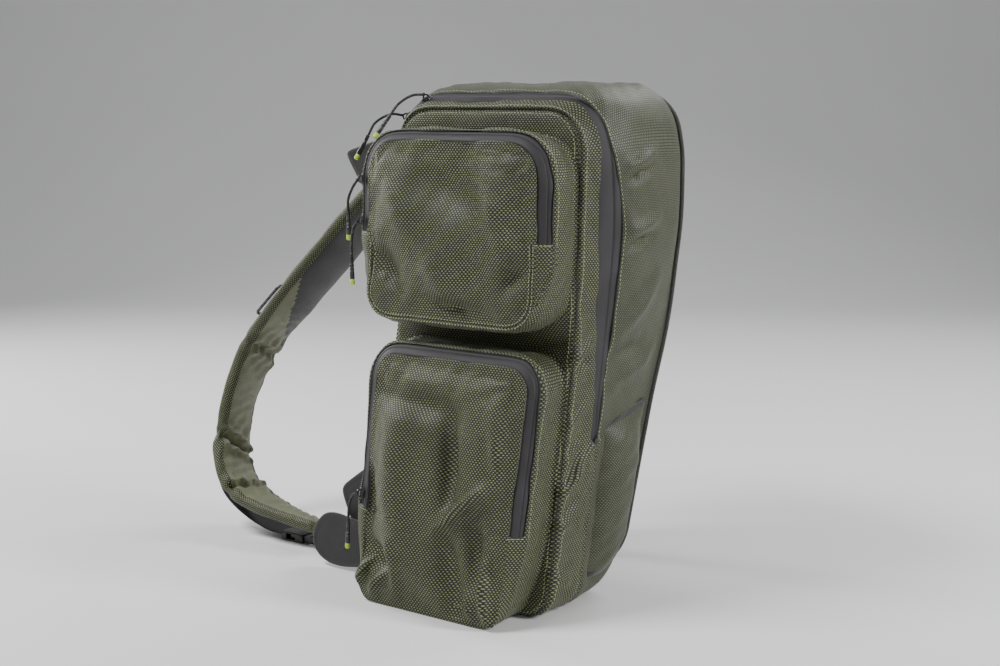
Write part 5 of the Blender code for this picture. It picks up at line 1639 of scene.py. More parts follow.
def build_ear(upper):
    """Pointed lap of cloth that closes the upper pocket's zip at its right end."""
    tree = surface_tree(upper)
    top = UPPER_CLOTH.zip_end - 0.0012
    cloth = Cloth()
    layers = ([], [])

    def width_at(share):
        return (BAND_RIM + 0.0040) * (1.0 - 0.88 * share ** 1.5)

    for step in range(EAR_ROWS + 1):
        share = step / EAR_ROWS
        z = top - EAR_LONG * share
        for layer, lift in zip(layers, (0.0001, EAR_THICK)):
            row = []
            for n in range(EAR_COLUMNS + 1):
                across = 0.0004 + width_at(share) * n / EAR_COLUMNS
                ring = UPPER_CLOTH.gusset(0.12) if across > BAND_RIM else UPPER_CLOTH.band(across)
                hit, normal, _, _ = tree.find_nearest(side_point(ring, z))
                puff = 0.0044 * math.sin(math.pi * n / EAR_COLUMNS) * share * (1.0 - share)
                edge = 0.0014 * (n == EAR_COLUMNS) * min(share * 4.0, 1.0)
                row.append(hit + normal * (lift + puff + edge))
            layer.append(cloth.row(row))
    low, high = layers
    for layer in layers:
        cloth.quads(layer, lambda k, r, n: (width_at(r / EAR_ROWS) * n / EAR_COLUMNS,
                                            EAR_LONG * r / EAR_ROWS), closed=False)
    rim = [(k, 0) for k in range(EAR_ROWS)] + [(EAR_ROWS, n) for n in range(EAR_COLUMNS)]
    rim += [(k, EAR_COLUMNS) for k in range(EAR_ROWS, 0, -1)] + [(0, n) for n in range(EAR_COLUMNS, 0, -1)]
    for (a, b), (c, d) in zip(rim, rim[1:] + rim[:1]):
        corners = (low[a][b], low[c][d], high[c][d], high[a][b])
        cloth.face(corners, [(v.co.x - v.co.y, v.co.z) for v in corners])
    settle(cloth.done("upper_pocket_ear", ("weave_soft",), 2), ())


# Side pocket, back, piping

SIDE_POCKET_FOLDS = (
    # start way, z, end way, z, width, height
    (0.03, 0.06, 0.09, 0.10, 0.008, 0.0022),
    (0.02, 0.09, 0.07, 0.14, 0.007, -0.0020),
)


def around(rows):
    """The border of a grid's rows, once round from its first point."""
    return rows[0] + [row[-1] for row in rows[1:]] + rows[-1][-2::-1] + [row[0] for row in rows[-2:0:-1]]


def side_pocket_grid():
    """Outer surface of the side pocket over the right flank: rows up, columns back."""
    rings = [pack_row(k) for k in (3.0, 4.0, 5.0, 6.0, 7.0)]
    first = MAIN_COLUMNS + ARC_STEPS + 1
    indices = [first - 1, first, first + 1, first + 2, first + 3, first + 4]
    grid = []
    for r, index in enumerate(indices):
        row = []
        for c, ring in enumerate(rings):
            point = Vector(ring[index])
            if r == len(indices) - 1:
                slope = 0.25 + 0.75 * c / (len(rings) - 1)
                point = Vector(ring[index - 1]).lerp(Vector(ring[index]), slope)
            u = 2 * c / (len(rings) - 1) - 1
            v = 2 * r / (len(indices) - 1) - 1
            rise = (max(1 - u ** 2, 0.0) if u < 0 else max(1 - u ** 4, 0.0)) * max(1 - v ** 4, 0.0)
            point.x += SIDE_POCKET_STAND_OFF + SIDE_POCKET_BULGE * rise
            row.append(point)
        grid.append(row)
    return grid


def build_side_pocket():
    """Shallow pocket sewn flat into the front seam, with a bound mouth, over the right flank."""
    grid = side_pocket_grid()
    cloth = Cloth()
    seam = [[p + Vector((-0.0034 if c else -0.0048, 0.0, 0.0)) for c, p in enumerate(row)] for row in grid]
    middle = grid[len(grid) // 2][len(grid[0]) // 2]
    rows = []
    for r, row in enumerate(grid):
        line = []
        for c, point in enumerate(row):
            pull = Vector((0.0, 0.0, 0.0))
            if r in (0, len(grid) - 1) or c == len(row) - 1:
                pull = (middle - point).normalized() * 0.0012
            if c == 0:
                pull = Vector((-0.0034, 0.0, 0.0))
            line.append(point + pull)
        rows.append(cloth.row(line))
    for low, high in zip(rows, rows[1:]):
        for a in range(len(low) - 1):
            corners = (low[a], low[a + 1], high[a + 1], high[a])
            cloth.face(corners, [(c.co.y, c.co.z) for c in corners])
    loop = around(rows)
    rim = cloth.row(around(seam))
    for k in range(len(loop)):
        m = (k + 1) % len(loop)
        corners = (loop[k], rim[k], rim[m], loop[m])
        cloth.face(corners, [(c.co.y, c.co.z + 0.002) for c in corners], 1)
    obj = cloth.done("side_pocket_cloth", ("weave_flank", "binding"), DETAIL + 1)
    places, normals = vertex_data(obj)
    way, z = places[:, 1], places[:, 2]
    share = (z - z.min()) / (z.max() - z.min())
    front = np.clip((way - way.min()) / 0.012, 0.0, 1.0)
    push = waves(way, z, 21, ((0.050, 0.0012), (0.022, 0.0005))) * front
    push += 0.0012 * np.exp(-((share - 0.985) / 0.012) ** 2)
    push += folds_at(way, z, SIDE_POCKET_FOLDS)
    keep = np.clip((places[:, 0] - (places[:, 0].max() - 0.03)) / 0.01, 0.0, 1.0)
    move_vertices(obj, places + normals * (push * keep)[:, None])
    settle(obj, ["side_pocket"])


def build_back_panel():
    """Padded mesh back, quilted in channels."""
    low = BACK_BASE_RISE + BACK_MARGIN
    high = FRONT_HEIGHT + 0.5 * TOP_RISE - BACK_MARGIN

    def ring(grow, way):
        half = FRONT_WIDTH / 2 - 0.5 * BACK_MARGIN + grow
        points = rounded_ring(half, half, low - grow, high + grow, LOW_CORNER * 0.5, HIGH_CORNER,
                              side_heights(), lambda z: half, MAIN_ACROSS)
        return [Vector((x, back_of(z) + CLEAR + way, z)) for x, z in points]

    cloth = Cloth()
    rings = [ring(-0.0005, 0.0), ring(0.0010, 0.0020), ring(0.0010, 0.55 * BACK_PAD),
             ring(-0.0035, 0.95 * BACK_PAD), ring(-0.012, BACK_PAD)]
    verts = [cloth.row(points) for points in rings]
    along = way_along(rings[0])
    cloth.quads(verts, lambda k, r, n: (along[n], 0.004 * r))
    cloth.fill(rings[-1], verts[-1], MAIN_COLUMNS, MAIN_ROWS, lambda p: back_surface(p.z), True)
    cloth.fill(rings[0], verts[0], MAIN_COLUMNS, MAIN_ROWS, lambda p: back_of(p.z) + CLEAR)
    obj = cloth.done("back_padding", ("mesh_back",), DETAIL)
    places, normals = vertex_data(obj)
    x, z = places[:, 0], places[:, 2]
    outer = np.clip((normals[:, 1] - 0.5) * 4.0, 0.0, 1.0)
    channel = sum(CHANNEL_DEEP * np.exp(-((z - middle) / CHANNEL_WIDE) ** 2) for middle in BACK_CHANNELS)
    channel += sum(SIDE_CHANNEL_DEEP * np.exp(-((x - middle) / CHANNEL_WIDE) ** 2)
                   for middle in (-SIDE_CHANNEL_X, SIDE_CHANNEL_X))
    edge = np.clip((FRONT_WIDTH / 2 - 0.018 - np.abs(x)) / 0.012, 0.0, 1.0)
    places[:, 1] -= outer * edge * channel
    move_vertices(obj, places)
    settle(obj, ["back_panel"])


def build_piping():
    """Corded piping along the back seam."""
    ring = pack_row(BACK_SEAM)
    middle = Vector((0.0, 0.0, FRONT_HEIGHT / 2))
    stand_off = (PIPING + CLEAR) * 0.82
    points = []
    for k, point in enumerate(ring):
        ahead = ring[(k + 1) % len(ring)] - ring[k - 1]
        out = Vector((ahead.z, 0.0, -ahead.x)).normalized()
        if out.dot(point - middle) < 0:
            out.negate()
        points.append(point + out * stand_off + Vector((0.0, stand_off, 0.0)))
    flange = Cloth()
    inner = [p + (middle - p).normalized() * 0.006 for p in ring]
    rows = [flange.row([p + Vector((0.0, off, 0.0)) for p in line])
            for line, off in ((inner, -0.0020), (points, -0.0009), (points, 0.0007), (inner, 0.0002))]
    along = way_along(ring)
    flange.quads(rows + rows[:1], lambda k, r, n: (0.006 * r, along[n]))
    settle(flange.done("back_flange", ("piping",), 2), ())
    obj = round_cord("back_cord", rounded_loop(points, 2), PIPING, "piping", closed=True, sides=4)
    settle(obj, ["back_piping"])


def rounded_loop(points, times):
    """A closed line with its corners rounded, kept close to its points."""
    for _ in range(times):
        result = []
        for k, point in enumerate(points):
            before, ahead = points[k - 1], points[(k + 1) % len(points)]
            result.append(before.lerp(ahead, 0.5) * 0.25 + point * 0.75)
            result.append(point.lerp(ahead, 0.5))
        points = result
    return points


# Straps and webbing


def section_points(width, thick):
    """Half-round padded section of a strap: bound edges around a full middle."""
    half = width / 2
    deep = thick / 2
    bound = half - STRAP_HEM
    low = deep * STRAP_FULLNESS
    return (
        # across, out
        (-bound, -low), (-bound * 0.5, -deep), (0.0, -deep), (bound * 0.5, -deep),
        (bound, -low), (half - 0.0012, -deep * 0.55), (half, 0.0), (half - 0.0012, deep * 0.55),
        (bound, low), (bound * 0.5, deep), (0.0, deep), (-bound * 0.5, deep),
        (-bound, low), (-half + 0.0012, deep * 0.55), (-half, 0.0), (-half + 0.0012, -deep * 0.55))


def loft_band(name, stations, thick, section, mats, slot_of):
    """A closed band along stations, its chart across and along in metres."""
    frames = station_frames(stations)
    cloth = Cloth()
    run = way_along([frame[0] for frame in frames], False)
    rings = [cloth.row([centre + across * a + out * b for a, b in section(width, thick)])
             for centre, across, out, _, width in frames]
    sample = section(frames[0][4], thick)
    count = len(sample)
    edge = [0.0]
    for k in range(count):
        a, b = sample[k], sample[(k + 1) % count]
        edge.append(edge[-1] + math.hypot(b[0] - a[0], b[1] - a[1]))
    for k in range(len(rings) - 1):
        for n in range(count):
            m = (n + 1) % count
            cloth.face((rings[k][n], rings[k][m], rings[k + 1][m], rings[k + 1][n]),
                       ((edge[n], run[k]), (edge[n + 1], run[k]),
                        (edge[n + 1], run[k + 1]), (edge[n], run[k + 1])), slot_of(n))
    for ring in (rings[0][::-1], rings[-1]):
        cloth.face(ring, [(0.0, 0.0)] * count, slot_of(0))
    return cloth.done(name, mats, 2), frames


def build_strap(name, table, node, kinks, point=0.0):
    """A padded strap: woven outer face, lining gathered at the kinks, its end drawn in to a point."""
    stations = strap_stations(table, 3)
    count = len(stations) - 1
    stations = [(spot, way, wide * (1.0 - point * smooth_step((k / count - 0.84) / 0.16)))
                for k, (spot, way, wide) in enumerate(stations)]
    obj, frames = loft_band(name, stations, STRAP_THICK, section_points,
                            ("weave_strap", "binding", "strap_pad", "lining"), lambda n: 2 if n < 4 else 0)
    places, normals = vertex_data(obj)
    centres, acrosses, outs = (np.array([frame[k] for frame in frames]) for k in range(3))
    nearest = np.argmin(((places[:, None, :] - centres[None, :, :]) ** 2).sum(axis=2), axis=1)
    offset = places - centres[nearest]
    across = (offset * acrosses[nearest]).sum(axis=1)
    side = (normals * outs[nearest]).sum(axis=1)
    run = np.concatenate([[0.0], np.cumsum(np.linalg.norm(np.diff(centres, axis=0), axis=1))])
    ahead = np.roll(centres, -1, axis=0)
    ahead[-1] = 2 * centres[-1] - centres[-2]
    alongs = ahead - centres
    alongs /= np.linalg.norm(alongs, axis=1)[:, None]
    distance = run[nearest] + (offset * alongs[nearest]).sum(axis=1)
    push = waves(across, distance, 31, ((0.050, 0.0004),))
    half = STRAP_WIDTH / 2
    line_strap(obj.data, across / half, distance / run[-1])
    inner = np.clip(-side * 1.5, 0.0, 1.0)
    steps = np.linspace(0.0, 1.0, len(run))
    for share in kinks:
        away = distance - float(np.interp(share, steps, run)) - KINK_SLANT * across
        middle = np.clip(1.30 - np.abs(across) / half, 0.25, 1.0)
        push -= (KINK_DEEP + 0.0026 * inner) * middle * np.exp(-(away / KINK_WIDE) ** 2)
        push += (0.0010 + 0.0024 * inner) * middle * np.exp(-((np.abs(away) - 0.0100) / 0.0048) ** 2)
        spread = np.sin(2 * math.pi * (across + 0.55 * away) / 0.0150)
        push += 0.0017 * inner * spread * np.exp(-(away / 0.026) ** 2)

    # Gathers of the inner face, from half way down
    reach = np.clip((distance / run[-1] - 0.50) / 0.06, 0.0, 1.0)
    pucker = np.sin(2 * math.pi * distance / PUCKER_LONG + 2.4 * np.sin(across / 0.011))
    pucker += 0.5 * np.sin(2 * math.pi * distance / 0.0074 + 5.0 * across / half)
    push += PUCKER_HIGH * inner * reach * pucker * np.clip(1.1 - np.abs(across) / half, 0.0, 1.0)
    move_vertices(obj, places + normals * (push * look().fold_depth)[:, None])
    settle(obj, [node])


def line_strap(mesh, across, share):
    """The inner face: mesh cloth first, then lining, meeting along a slanting seam."""
    corners = np.empty(len(mesh.loops), dtype=np.int32)
    mesh.loops.foreach_get("vertex_index", corners)
    corners = corners.reshape(-1, 4)
    slots = np.empty(len(mesh.polygons), dtype=np.int32)
    mesh.polygons.foreach_get("material_index", slots)
    lined = share[corners].mean(axis=1) > LINING_START + LINING_SLANT * across[corners].mean(axis=1)
    mesh.polygons.foreach_set("material_index", np.where((slots == 2) & lined, 3, slots))


def flat_section(width, thick):
    half = width / 2
    deep = thick / 2
    return ((-half + 0.001, -deep), (-half * 0.5, -deep), (0.0, -deep), (half * 0.5, -deep),
            (half - 0.001, -deep), (half, -deep * 0.4), (half, deep * 0.4), (half - 0.001, deep),
            (half * 0.5, deep), (0.0, deep), (-half * 0.5, deep), (-half + 0.001, deep),
            (-half, deep * 0.4), (-half, -deep * 0.4))


def webbing_routes():
    """Stations of the three webbings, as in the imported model."""
    y = FRONT_Y + BUCKLE_BACK
    rows = [(a * FRONT_WIDTH, FRONT_Y + b * DEPTH, c * FRONT_HEIGHT) for a, b, c in HIGH_WEBBING]
    end_x = BUCKLE_X - BUCKLE_LONG / 2 - CLEAR
    rows += [(end_x - step, y, BUCKLE_Z) for step in (0.010, 0.004, 0.0)]
    high = [(row, (0, 1, 0), WEBBING_WIDTH) for row in smooth_route(rows, 3)]
    start = BUCKLE_X + BUCKLE_LONG / 2 + BUCKLE_FIT + PLATE_LONG + CLEAR
    rows = [(start + step, y, BUCKLE_Z) for step in (0.0, 0.004, 0.010)]
    for off, back, up in LOW_WEBBING:
        z = up * FRONT_HEIGHT
        side = FRONT_WIDTH / 2 + bulge_at(z) + CLEAR + WEBBING_THICK / 2
        rows.append((-side - off * FRONT_WIDTH, FRONT_Y + back * DEPTH, z))
    low = [(row, (0, 1, 0), WEBBING_WIDTH) for row in smooth_route(rows, 3)]
    before, end = [Vector(station[0]) for station in strap_stations(RIGHT_STRAP, 2)[-2:]]
    along = (end - before).normalized()
    rows = [end + along * CLEAR, end + along * (CLEAR + 0.004)]
    for off, up in RIGHT_WEBBING:
        z = up * FRONT_HEIGHT
        rows.append(Vector((end.x, back_surface(z) + CLEAR + WEBBING_THICK / 2 + off * DEPTH, z)))
    right = [(row, (1, 0, 0), 0.9 * WEBBING_WIDTH) for row in smooth_route(rows, 3)]
    return high, low, right


def build_webbing():
    """The three webbings, each a flat band."""
    for name, stations in zip(("high", "low", "right"), webbing_routes()):
        obj, _ = loft_band("webbing_" + name + "_cloth", stations, WEBBING_THICK, flat_section,
                           ("webbing",), lambda n: 0)
        move_vertices(obj, vertex_data(obj)[0])
        settle(obj, ["webbing_" + name])


def strap_spot(table, share):
    """Centre, along, across and outward directions of a strap at a share of its table."""
    stations = strap_stations(table, 2)
    k = min(int(share * (len(stations) - 1)), len(stations) - 2)
    centre = Vector(stations[k][0])
    along = (Vector(stations[k + 1][0]) - centre).normalized()
    across = Vector(stations[k][1])
    across = (across - along * across.dot(along)).normalized()
    return centre, along, across, across.cross(along)


def build_ring():
    """The bent wire loop on the outer face of the left strap."""
    centre, along, across, out = strap_spot(LEFT_STRAP, RING_SHARE)
    if out.x > 0:
        out.negate()
    half_wide = WEBBING_WIDTH / 2 + 2 * RING_WIRE
    low = STRAP_THICK / 2 + CLEAR + RING_WIRE * 1.15 + RING_LIFT
    high = low + RING_TILT
    corners = [centre + along * (a * RING_HALF_LONG) + across * (w * half_wide) + out * lift
               for a, w, lift in ((-1, -1, low), (-1, 1, low), (1, 1, high), (1, -1, high))]
    points = []
    for k, here in enumerate(corners):
        start, end = (here + (other - here).normalized() * RING_CORNER
                      for other in (corners[k - 1], corners[(k + 1) % 4]))
        points += [start.lerp(here, step / 6).lerp(here.lerp(end, step / 6), step / 6) for step in range(7)]
    settle(round_cord("strap_loop", points, RING_WIRE, "wire", closed=True), ["strap_ring"])


# Tabs

TOP_WING = ((0.0, 0.944), (0.150, 0.929), (0.316, 0.907), (0.215, 0.838), (0.0, 0.735))
LOW_WING = ((0.0, 0.258), (0.110, 0.232), (0.276, 0.177), (0.175, 0.075), (0.0, 0.060))
ROUND_TAB = ((0.0, 0.115), (0.150, 0.120), (0.250, 0.128), (0.330, 0.122), (0.385, 0.095),
             (0.415, 0.060), (0.390, 0.028), (0.320, 0.009), (0.210, 0.005), (0.0, 0.025))
TABS = (
    # name, outline, way back, smoothing
    ("wing_top", TOP_WING, 0.002, 0),
    ("wing_low", LOW_WING, -0.018, 0),
    ("tab_round", ROUND_TAB, -0.030, 2),
)


def flank_x(z, way):
    """Half width of the pack at a height and a way back from the front seam."""
    x = FRONT_WIDTH / 2
    for low, high in zip(SECTIONS, SECTIONS[1:]):
        start, end = low[0](z), high[0](z)
        if way <= end:
            share = max(way - start, 0.0) / max(end - start, 1e-6)
            return x + (low[1] + (high[1] - low[1]) * share) * bulge_at(z)
    return x + SECTIONS[-1][1] * bulge_at(z)


def shrink(points, amount):
    """A flat outline moved inward by an amount."""
    result = []
    for k, point in enumerate(points):
        before, ahead = points[k - 1], points[(k + 1) % len(points)]
        a = (point - before).normalized()
        b = (ahead - point).normalized()
        inward = Vector((-(a.z + b.z), 0.0, a.x + b.x))
        inward = inward.normalized() / max(math.sqrt(max((1 + a.dot(b)) / 2, 0.05)), 0.35)
        result.append(point + inward * amount)
    return result


def build_tab(name, outline, back, smoothing):
    """A flat tab with its edge folded in a binding."""
    points = []
    for across, up in outline:
        z = up * FRONT_HEIGHT
        way = max(back - lean(z), 0.0)
        seat = flank_x(z, way) + CLEAR + 0.0002
        x = seat if across == 0.0 else FRONT_WIDTH / 2 + across * FRONT_WIDTH
        points.append(Vector((-x, FRONT_Y + back, z)))
    fine = [points[0]]
    for a, b in zip(points, points[1:]):
        fine += [a.lerp(b, 1 / 3), a.lerp(b, 2 / 3), b]
    for _ in range(smoothing):
        fine = [fine[0]] + [fine[k - 1] * 0.25 + fine[k] * 0.5 + fine[k + 1] * 0.25
                            for k in range(1, len(fine) - 1)] + [fine[-1]]
    turn = sum((a.x * b.z - b.x * a.z) for a, b in zip(fine, fine[1:] + fine[:1]))
    if turn < 0:
        fine.reverse()
    deep = WING_THICK / 2
    levels = ((0.0, 0.35 * deep), (0.0006, 0.85 * deep), (0.0030, 0.95 * deep), (0.0042, 0.70 * deep),
              (0.0052, 0.55 * deep))
    cloth = Cloth()
    outer = []
    for face in (-1, 1):
        rows = [cloth.row([p + Vector((0.0, face * lift, 0.0)) for p in shrink(fine, amount)])
                for amount, lift in levels]
        outer.append(rows[0])
        for k in range(len(rows) - 1):
            for n in range(len(fine)):
                m = (n + 1) % len(fine)
                cloth.flat_face((rows[k][n], rows[k][m], rows[k + 1][m], rows[k + 1][n]), int(k > 2))
        cloth.flat_face(rows[-1], 1)
    low, high = outer
    for n in range(len(fine)):
        m = (n + 1) % len(fine)
        cloth.flat_face((low[n], low[m], high[m], high[n]))
    bmesh.ops.triangulate(cloth.bm, faces=[face for face in cloth.bm.faces if len(face.verts) > 4])
    obj = cloth.done(name + "_cloth", ("binding", "webbing"), 2)
    move_vertices(obj, vertex_data(obj)[0], 0.0003)
    settle(obj, [name], 50.0)


# Zip pulls and buckle


def ring_spot(ring_a, ring_b, index):
    """Place, along, across and outward directions on a zip between two rings."""
    here, ahead = ((ring_a[k] + ring_b[k]) / 2 for k in (index, index + 1))
    along = (ahead - here).normalized()
    out = along.cross((ring_b[index] - ring_a[index]).normalized())
    if out.dot(here - PACK_MIDDLE) < 0:
        out.negate()
    return (here + ahead) / 2, along, out.normalized()


def bevel(obj, width):
    """Round an object's sharp edges."""
    mod = obj.modifiers.new("edge", "BEVEL")
    mod.width = width
    mod.segments = 2
    mod.limit_method = "ANGLE"
    apply_all(obj)


def tapered_block(name, size, place, basis):
    """A bevelled block that narrows to its nose, at a place and turn, its mesh holding the place."""
    bpy.ops.mesh.primitive_cube_add(size=1.0, location=(0.0, 0.0, 0.0))
    obj = bpy.context.active_object
    obj.name = name
    for vert in obj.data.vertices:
        vert.co = Vector(a * b for a, b in zip(vert.co, size))
        if vert.co.x > 0:
            vert.co.y *= NOSE_TAPER
    bevel(obj, 0.0005)
    obj.data.transform(Matrix.Translation(place) @ basis)
    obj.data.materials.append(MATS["slider"])
    return obj


def join(parts, name):
    bpy.ops.object.select_all(action="DESELECT")
    for part in parts:
        part.select_set(True)
    bpy.context.view_layer.objects.active = parts[0]
    bpy.ops.object.join()
    parts[0].name = name
    parts[0].data.name = name
    return parts[0]


def grip_part(name, direction, side, flat, start):
    """A slim moulded grip with ribs, a collar at the cord and a coloured end, extruded ring by ring."""
    bpy.ops.mesh.primitive_circle_add(vertices=16, radius=1.0, fill_type="NGON", location=(0.0, 0.0, 0.0))
    obj = bpy.context.active_object
    obj.name = name
    mesh = obj.data
    mesh.name = name
    bpy.ops.object.mode_set(mode="EDIT")
    bpy.ops.mesh.select_all(action="SELECT")
    _, wide, thick = GRIP_PROFILE[0]
    bpy.ops.transform.resize(value=(wide, thick, 1.0))
    for before, here in zip(GRIP_PROFILE, GRIP_PROFILE[1:]):
        bpy.ops.mesh.extrude_region_move(TRANSFORM_OT_translate={"value": (0.0, 0.0, here[0] - before[0])})
        bpy.ops.transform.resize(value=(here[1] / before[1], here[2] / before[2], 1.0))
    bpy.ops.object.mode_set(mode="OBJECT")
    all_outward(obj)
    mesh.materials.append(MATS["moulded"])
    mesh.materials.append(MATS["tip"])
    for face in mesh.polygons:
        face.material_index = 1 if face.center.z > GRIP_TIP else 0
    basis = Matrix((side, flat, direction)).transposed().to_4x4()
    mesh.transform(Matrix.Translation(start) @ basis)
    return obj


def build_pull(name, spot, route):
    """A slider with its bridge, its cord and its grip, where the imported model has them."""
    place, along, out = spot
    half = SLIDER_HIGH / 2
    lift = CLEAR + SLIDER_STAND_OFF + half
    basis = Matrix((along, out.cross(along), out)).transposed().to_4x4()
    middle = place + out * lift
    arch = [middle + along * (math.cos(math.pi * step / 8) * SLIDER_LONG * 0.32)
            + out * (math.sin(math.pi * step / 8) * (half * 1.30) - half + 0.0020) for step in range(9)]
    body = join([
        tapered_block(name + "_plate", (SLIDER_LONG, SLIDER_WIDE, 0.0014), middle - out * (half - 0.0007),
                      basis),
        tapered_block(name + "_crown", (SLIDER_LONG * 0.82, SLIDER_WIDE * 0.62, 0.0012),
                      middle - out * (half - 0.0019), basis),
        round_cord(name + "_bridge", arch, 0.00085, "slider", sides=2)], name + "_body")
    settle(body, [name + "_slider"], 40.0)

    points = [place + out * (lift + half + CLEAR)]
    for step in route:
        points.append(points[-1] + Vector(step))
    line = [Vector(p) for p in smooth_route(points, 6)]
    leave = (line[1] - line[0]).normalized().dot(out)
    line[0] += out * CORD * math.sqrt(max(1.0 - leave * leave, 0.0))
    direction = (line[-1] - line[-2]).normalized()
    wide = direction.cross(Vector((0.0, 1.0, 0.0))).normalized()
    grip = grip_part(name + "_handle", direction, wide, direction.cross(wide), line[-1] + direction * CLEAR)
    settle(grip, [name + "_grip"], 40.0)

    obj = line_curve(name + "_line", line, CORD, "cord")
    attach(obj, "root")
    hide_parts(name + "_cord")


def build_pulls():
    """The visible pulls: two on the main zip, two on the upper pocket and one on the lower."""
    front, back = pack_row(ZIP_FRONT), pack_row(ZIP_BACK)
    corner = 2 * MAIN_COLUMNS + MAIN_ROWS
    build_pull("main_pull_a", ring_spot(front, back, corner), MAIN_A_ROUTE)
    build_pull("main_pull_b", ring_spot(front, back, corner - 2), MAIN_B_ROUTE)
    for pocket, name, places in ((UPPER, "upper_pull", ((-3, UPPER_A_ROUTE), (-1, UPPER_B_ROUTE))),
                                 (LOWER, "lower_pull", ((-1, LOWER_A_ROUTE),))):
        front, back = pocket.slit_rings()
        for letter, (step, route) in zip("ab", places):
            build_pull(name + "_" + letter, ring_spot(front, back, pocket.last + step), route)


def build_buckle():
    """Socket and tongue of the buckle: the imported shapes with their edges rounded."""
    for node in ("buckle_socket", "buckle_tongue"):
        mesh = frame["nodes"][node].data.copy()
        mesh.materials.clear()
        mesh.materials.append(MATS["moulded"])
        obj = new_object(node + "_body", mesh)
        mesh.name = obj.name
        only(obj)
        bpy.ops.object.mode_set(mode="EDIT")
        bpy.ops.mesh.select_all(action="SELECT")
        bpy.ops.mesh.remove_doubles(threshold=0.00002)
        bpy.ops.mesh.dissolve_limited(angle_limit=math.radians(3.0))
        bpy.ops.object.mode_set(mode="OBJECT")
        bevel(obj, 0.0006)
        settle(obj, [node], 40.0)


# Add-on


class RucksackLook(bpy.types.PropertyGroup):
    """Sizes and colours of the rucksack's finish."""

    weave_pitch: FloatProperty(name="Weave pitch", description="Distance between the floats of the weave",
                               default=0.0034, min=0.001, max=0.01, unit="LENGTH")
    fold_depth: FloatProperty(name="Fold depth", description="Depth of folds and dents, 1 as in the photo",
                              default=1.0, min=0.0, max=2.0, subtype="FACTOR")
    stitch_length: FloatProperty(name="Stitch length", description="Length of one stitch of the seams",
                                 default=0.0026, min=0.001, max=0.01, unit="LENGTH")
    key_power: FloatProperty(name="Key light", description="Power of the main light of the stage",
                             default=56.0, min=0.0, max=500.0, unit="POWER")
    weave_colour: FloatVectorProperty(name="Weave colour", description="Colour of the floats of the weave",
                                      default=(0.275, 0.302, 0.128), min=0.0, max=1.0, subtype="COLOR")
    gap_shade_colour: FloatVectorProperty(name="Gap colour", description="Colour between the floats of the weave",
                                    # The gap colour is painted shade between the floats of the weave.
                                    default=(0.003, 0.004, 0.002), min=0.0, max=1.0, subtype="COLOR")
    tape_colour: FloatVectorProperty(name="Zip tape colour", description="Colour of the coated zip tapes",
                                     default=(0.022, 0.021, 0.023), min=0.0, max=1.0, subtype="COLOR")
    tip_colour: FloatVectorProperty(name="Pull tip colour", description="Colour of the pulls' ends",
                                    default=(0.36, 0.50, 0.03), min=0.0, max=1.0, subtype="COLOR")


class RUCKSACK_OT_stage(bpy.types.Operator):
    """Camera, floor, soft lights and faint light all round."""

    bl_idname = "rucksack.stage"
    bl_label = "Stage"

    def execute(self, context):
        make_stage()
        return {"FINISHED"}


class RUCKSACK_OT_pulls(bpy.types.Operator):
    """Sliders, cords and grips of the five visible zip pulls."""

    bl_idname = "rucksack.pulls"
    bl_label = "Zip pulls"

    def execute(self, context):
        make_materials()
        build_pulls()
        return {"FINISHED"}


class RUCKSACK_OT_pack(bpy.types.Operator):
    """Front panel, gusset and back of the main pack, with their folds."""

    bl_idname = "rucksack.pack"
    bl_label = "Main pack"

    def execute(self, context):
        make_materials()
        build_pack()
        return {"FINISHED"}


class RUCKSACK_OT_main_zip(bpy.types.Operator):
    """Coated tape of the main zip."""

    bl_idname = "rucksack.main_zip"
    bl_label = "Main zip"

    def execute(self, context):
        make_materials()
        build_main_zip()
        return {"FINISHED"}


class RUCKSACK_OT_upper_pocket(bpy.types.Operator):
    """Crowned cloth and gusset of the upper front pocket."""

    bl_idname = "rucksack.upper_pocket"
    bl_label = "Upper pocket"

    def execute(self, context):
        make_materials()
        build_pocket(UPPER_CLOTH, UPPER_FOLDS, 11)
        return {"FINISHED"}


class RUCKSACK_OT_lower_pocket(bpy.types.Operator):
    """Crowned cloth and gusset of the lower front pocket."""

    bl_idname = "rucksack.lower_pocket"
    bl_label = "Lower pocket"

    def execute(self, context):
        make_materials()
        build_pocket(LOWER_CLOTH, LOWER_FOLDS, 12)
        return {"FINISHED"}


class RUCKSACK_OT_pocket_zips(bpy.types.Operator):
    """Coated tapes of both front pockets."""

    bl_idname = "rucksack.pocket_zips"
    bl_label = "Pocket zips"

    def execute(self, context):
        make_materials()
        build_pocket_zip(UPPER_CLOTH)
        build_pocket_zip(LOWER_CLOTH)
        return {"FINISHED"}


class RUCKSACK_OT_seams(bpy.types.Operator):
    """Rows of stitches, and the lap of cloth at the end of the upper zip."""

    bl_idname = "rucksack.seams"
    bl_label = "Seams"

    def execute(self, context):
        make_materials()
        build_seams()
        return {"FINISHED"}


class RUCKSACK_OT_side_pocket(bpy.types.Operator):
    """Flat pocket over the right flank."""

    bl_idname = "rucksack.side_pocket"
    bl_label = "Side pocket"

    def execute(self, context):
        make_materials()
        build_side_pocket()
        return {"FINISHED"}


class RUCKSACK_OT_back_panel(bpy.types.Operator):
    """Quilted mesh back."""

    bl_idname = "rucksack.back_panel"
    bl_label = "Back panel"

    def execute(self, context):
        make_materials()
        build_back_panel()
        return {"FINISHED"}


class RUCKSACK_OT_piping(bpy.types.Operator):
    """Corded piping and its flange along the back seam."""

    bl_idname = "rucksack.piping"
    bl_label = "Back piping"

    def execute(self, context):
        make_materials()
        build_piping()
        return {"FINISHED"}


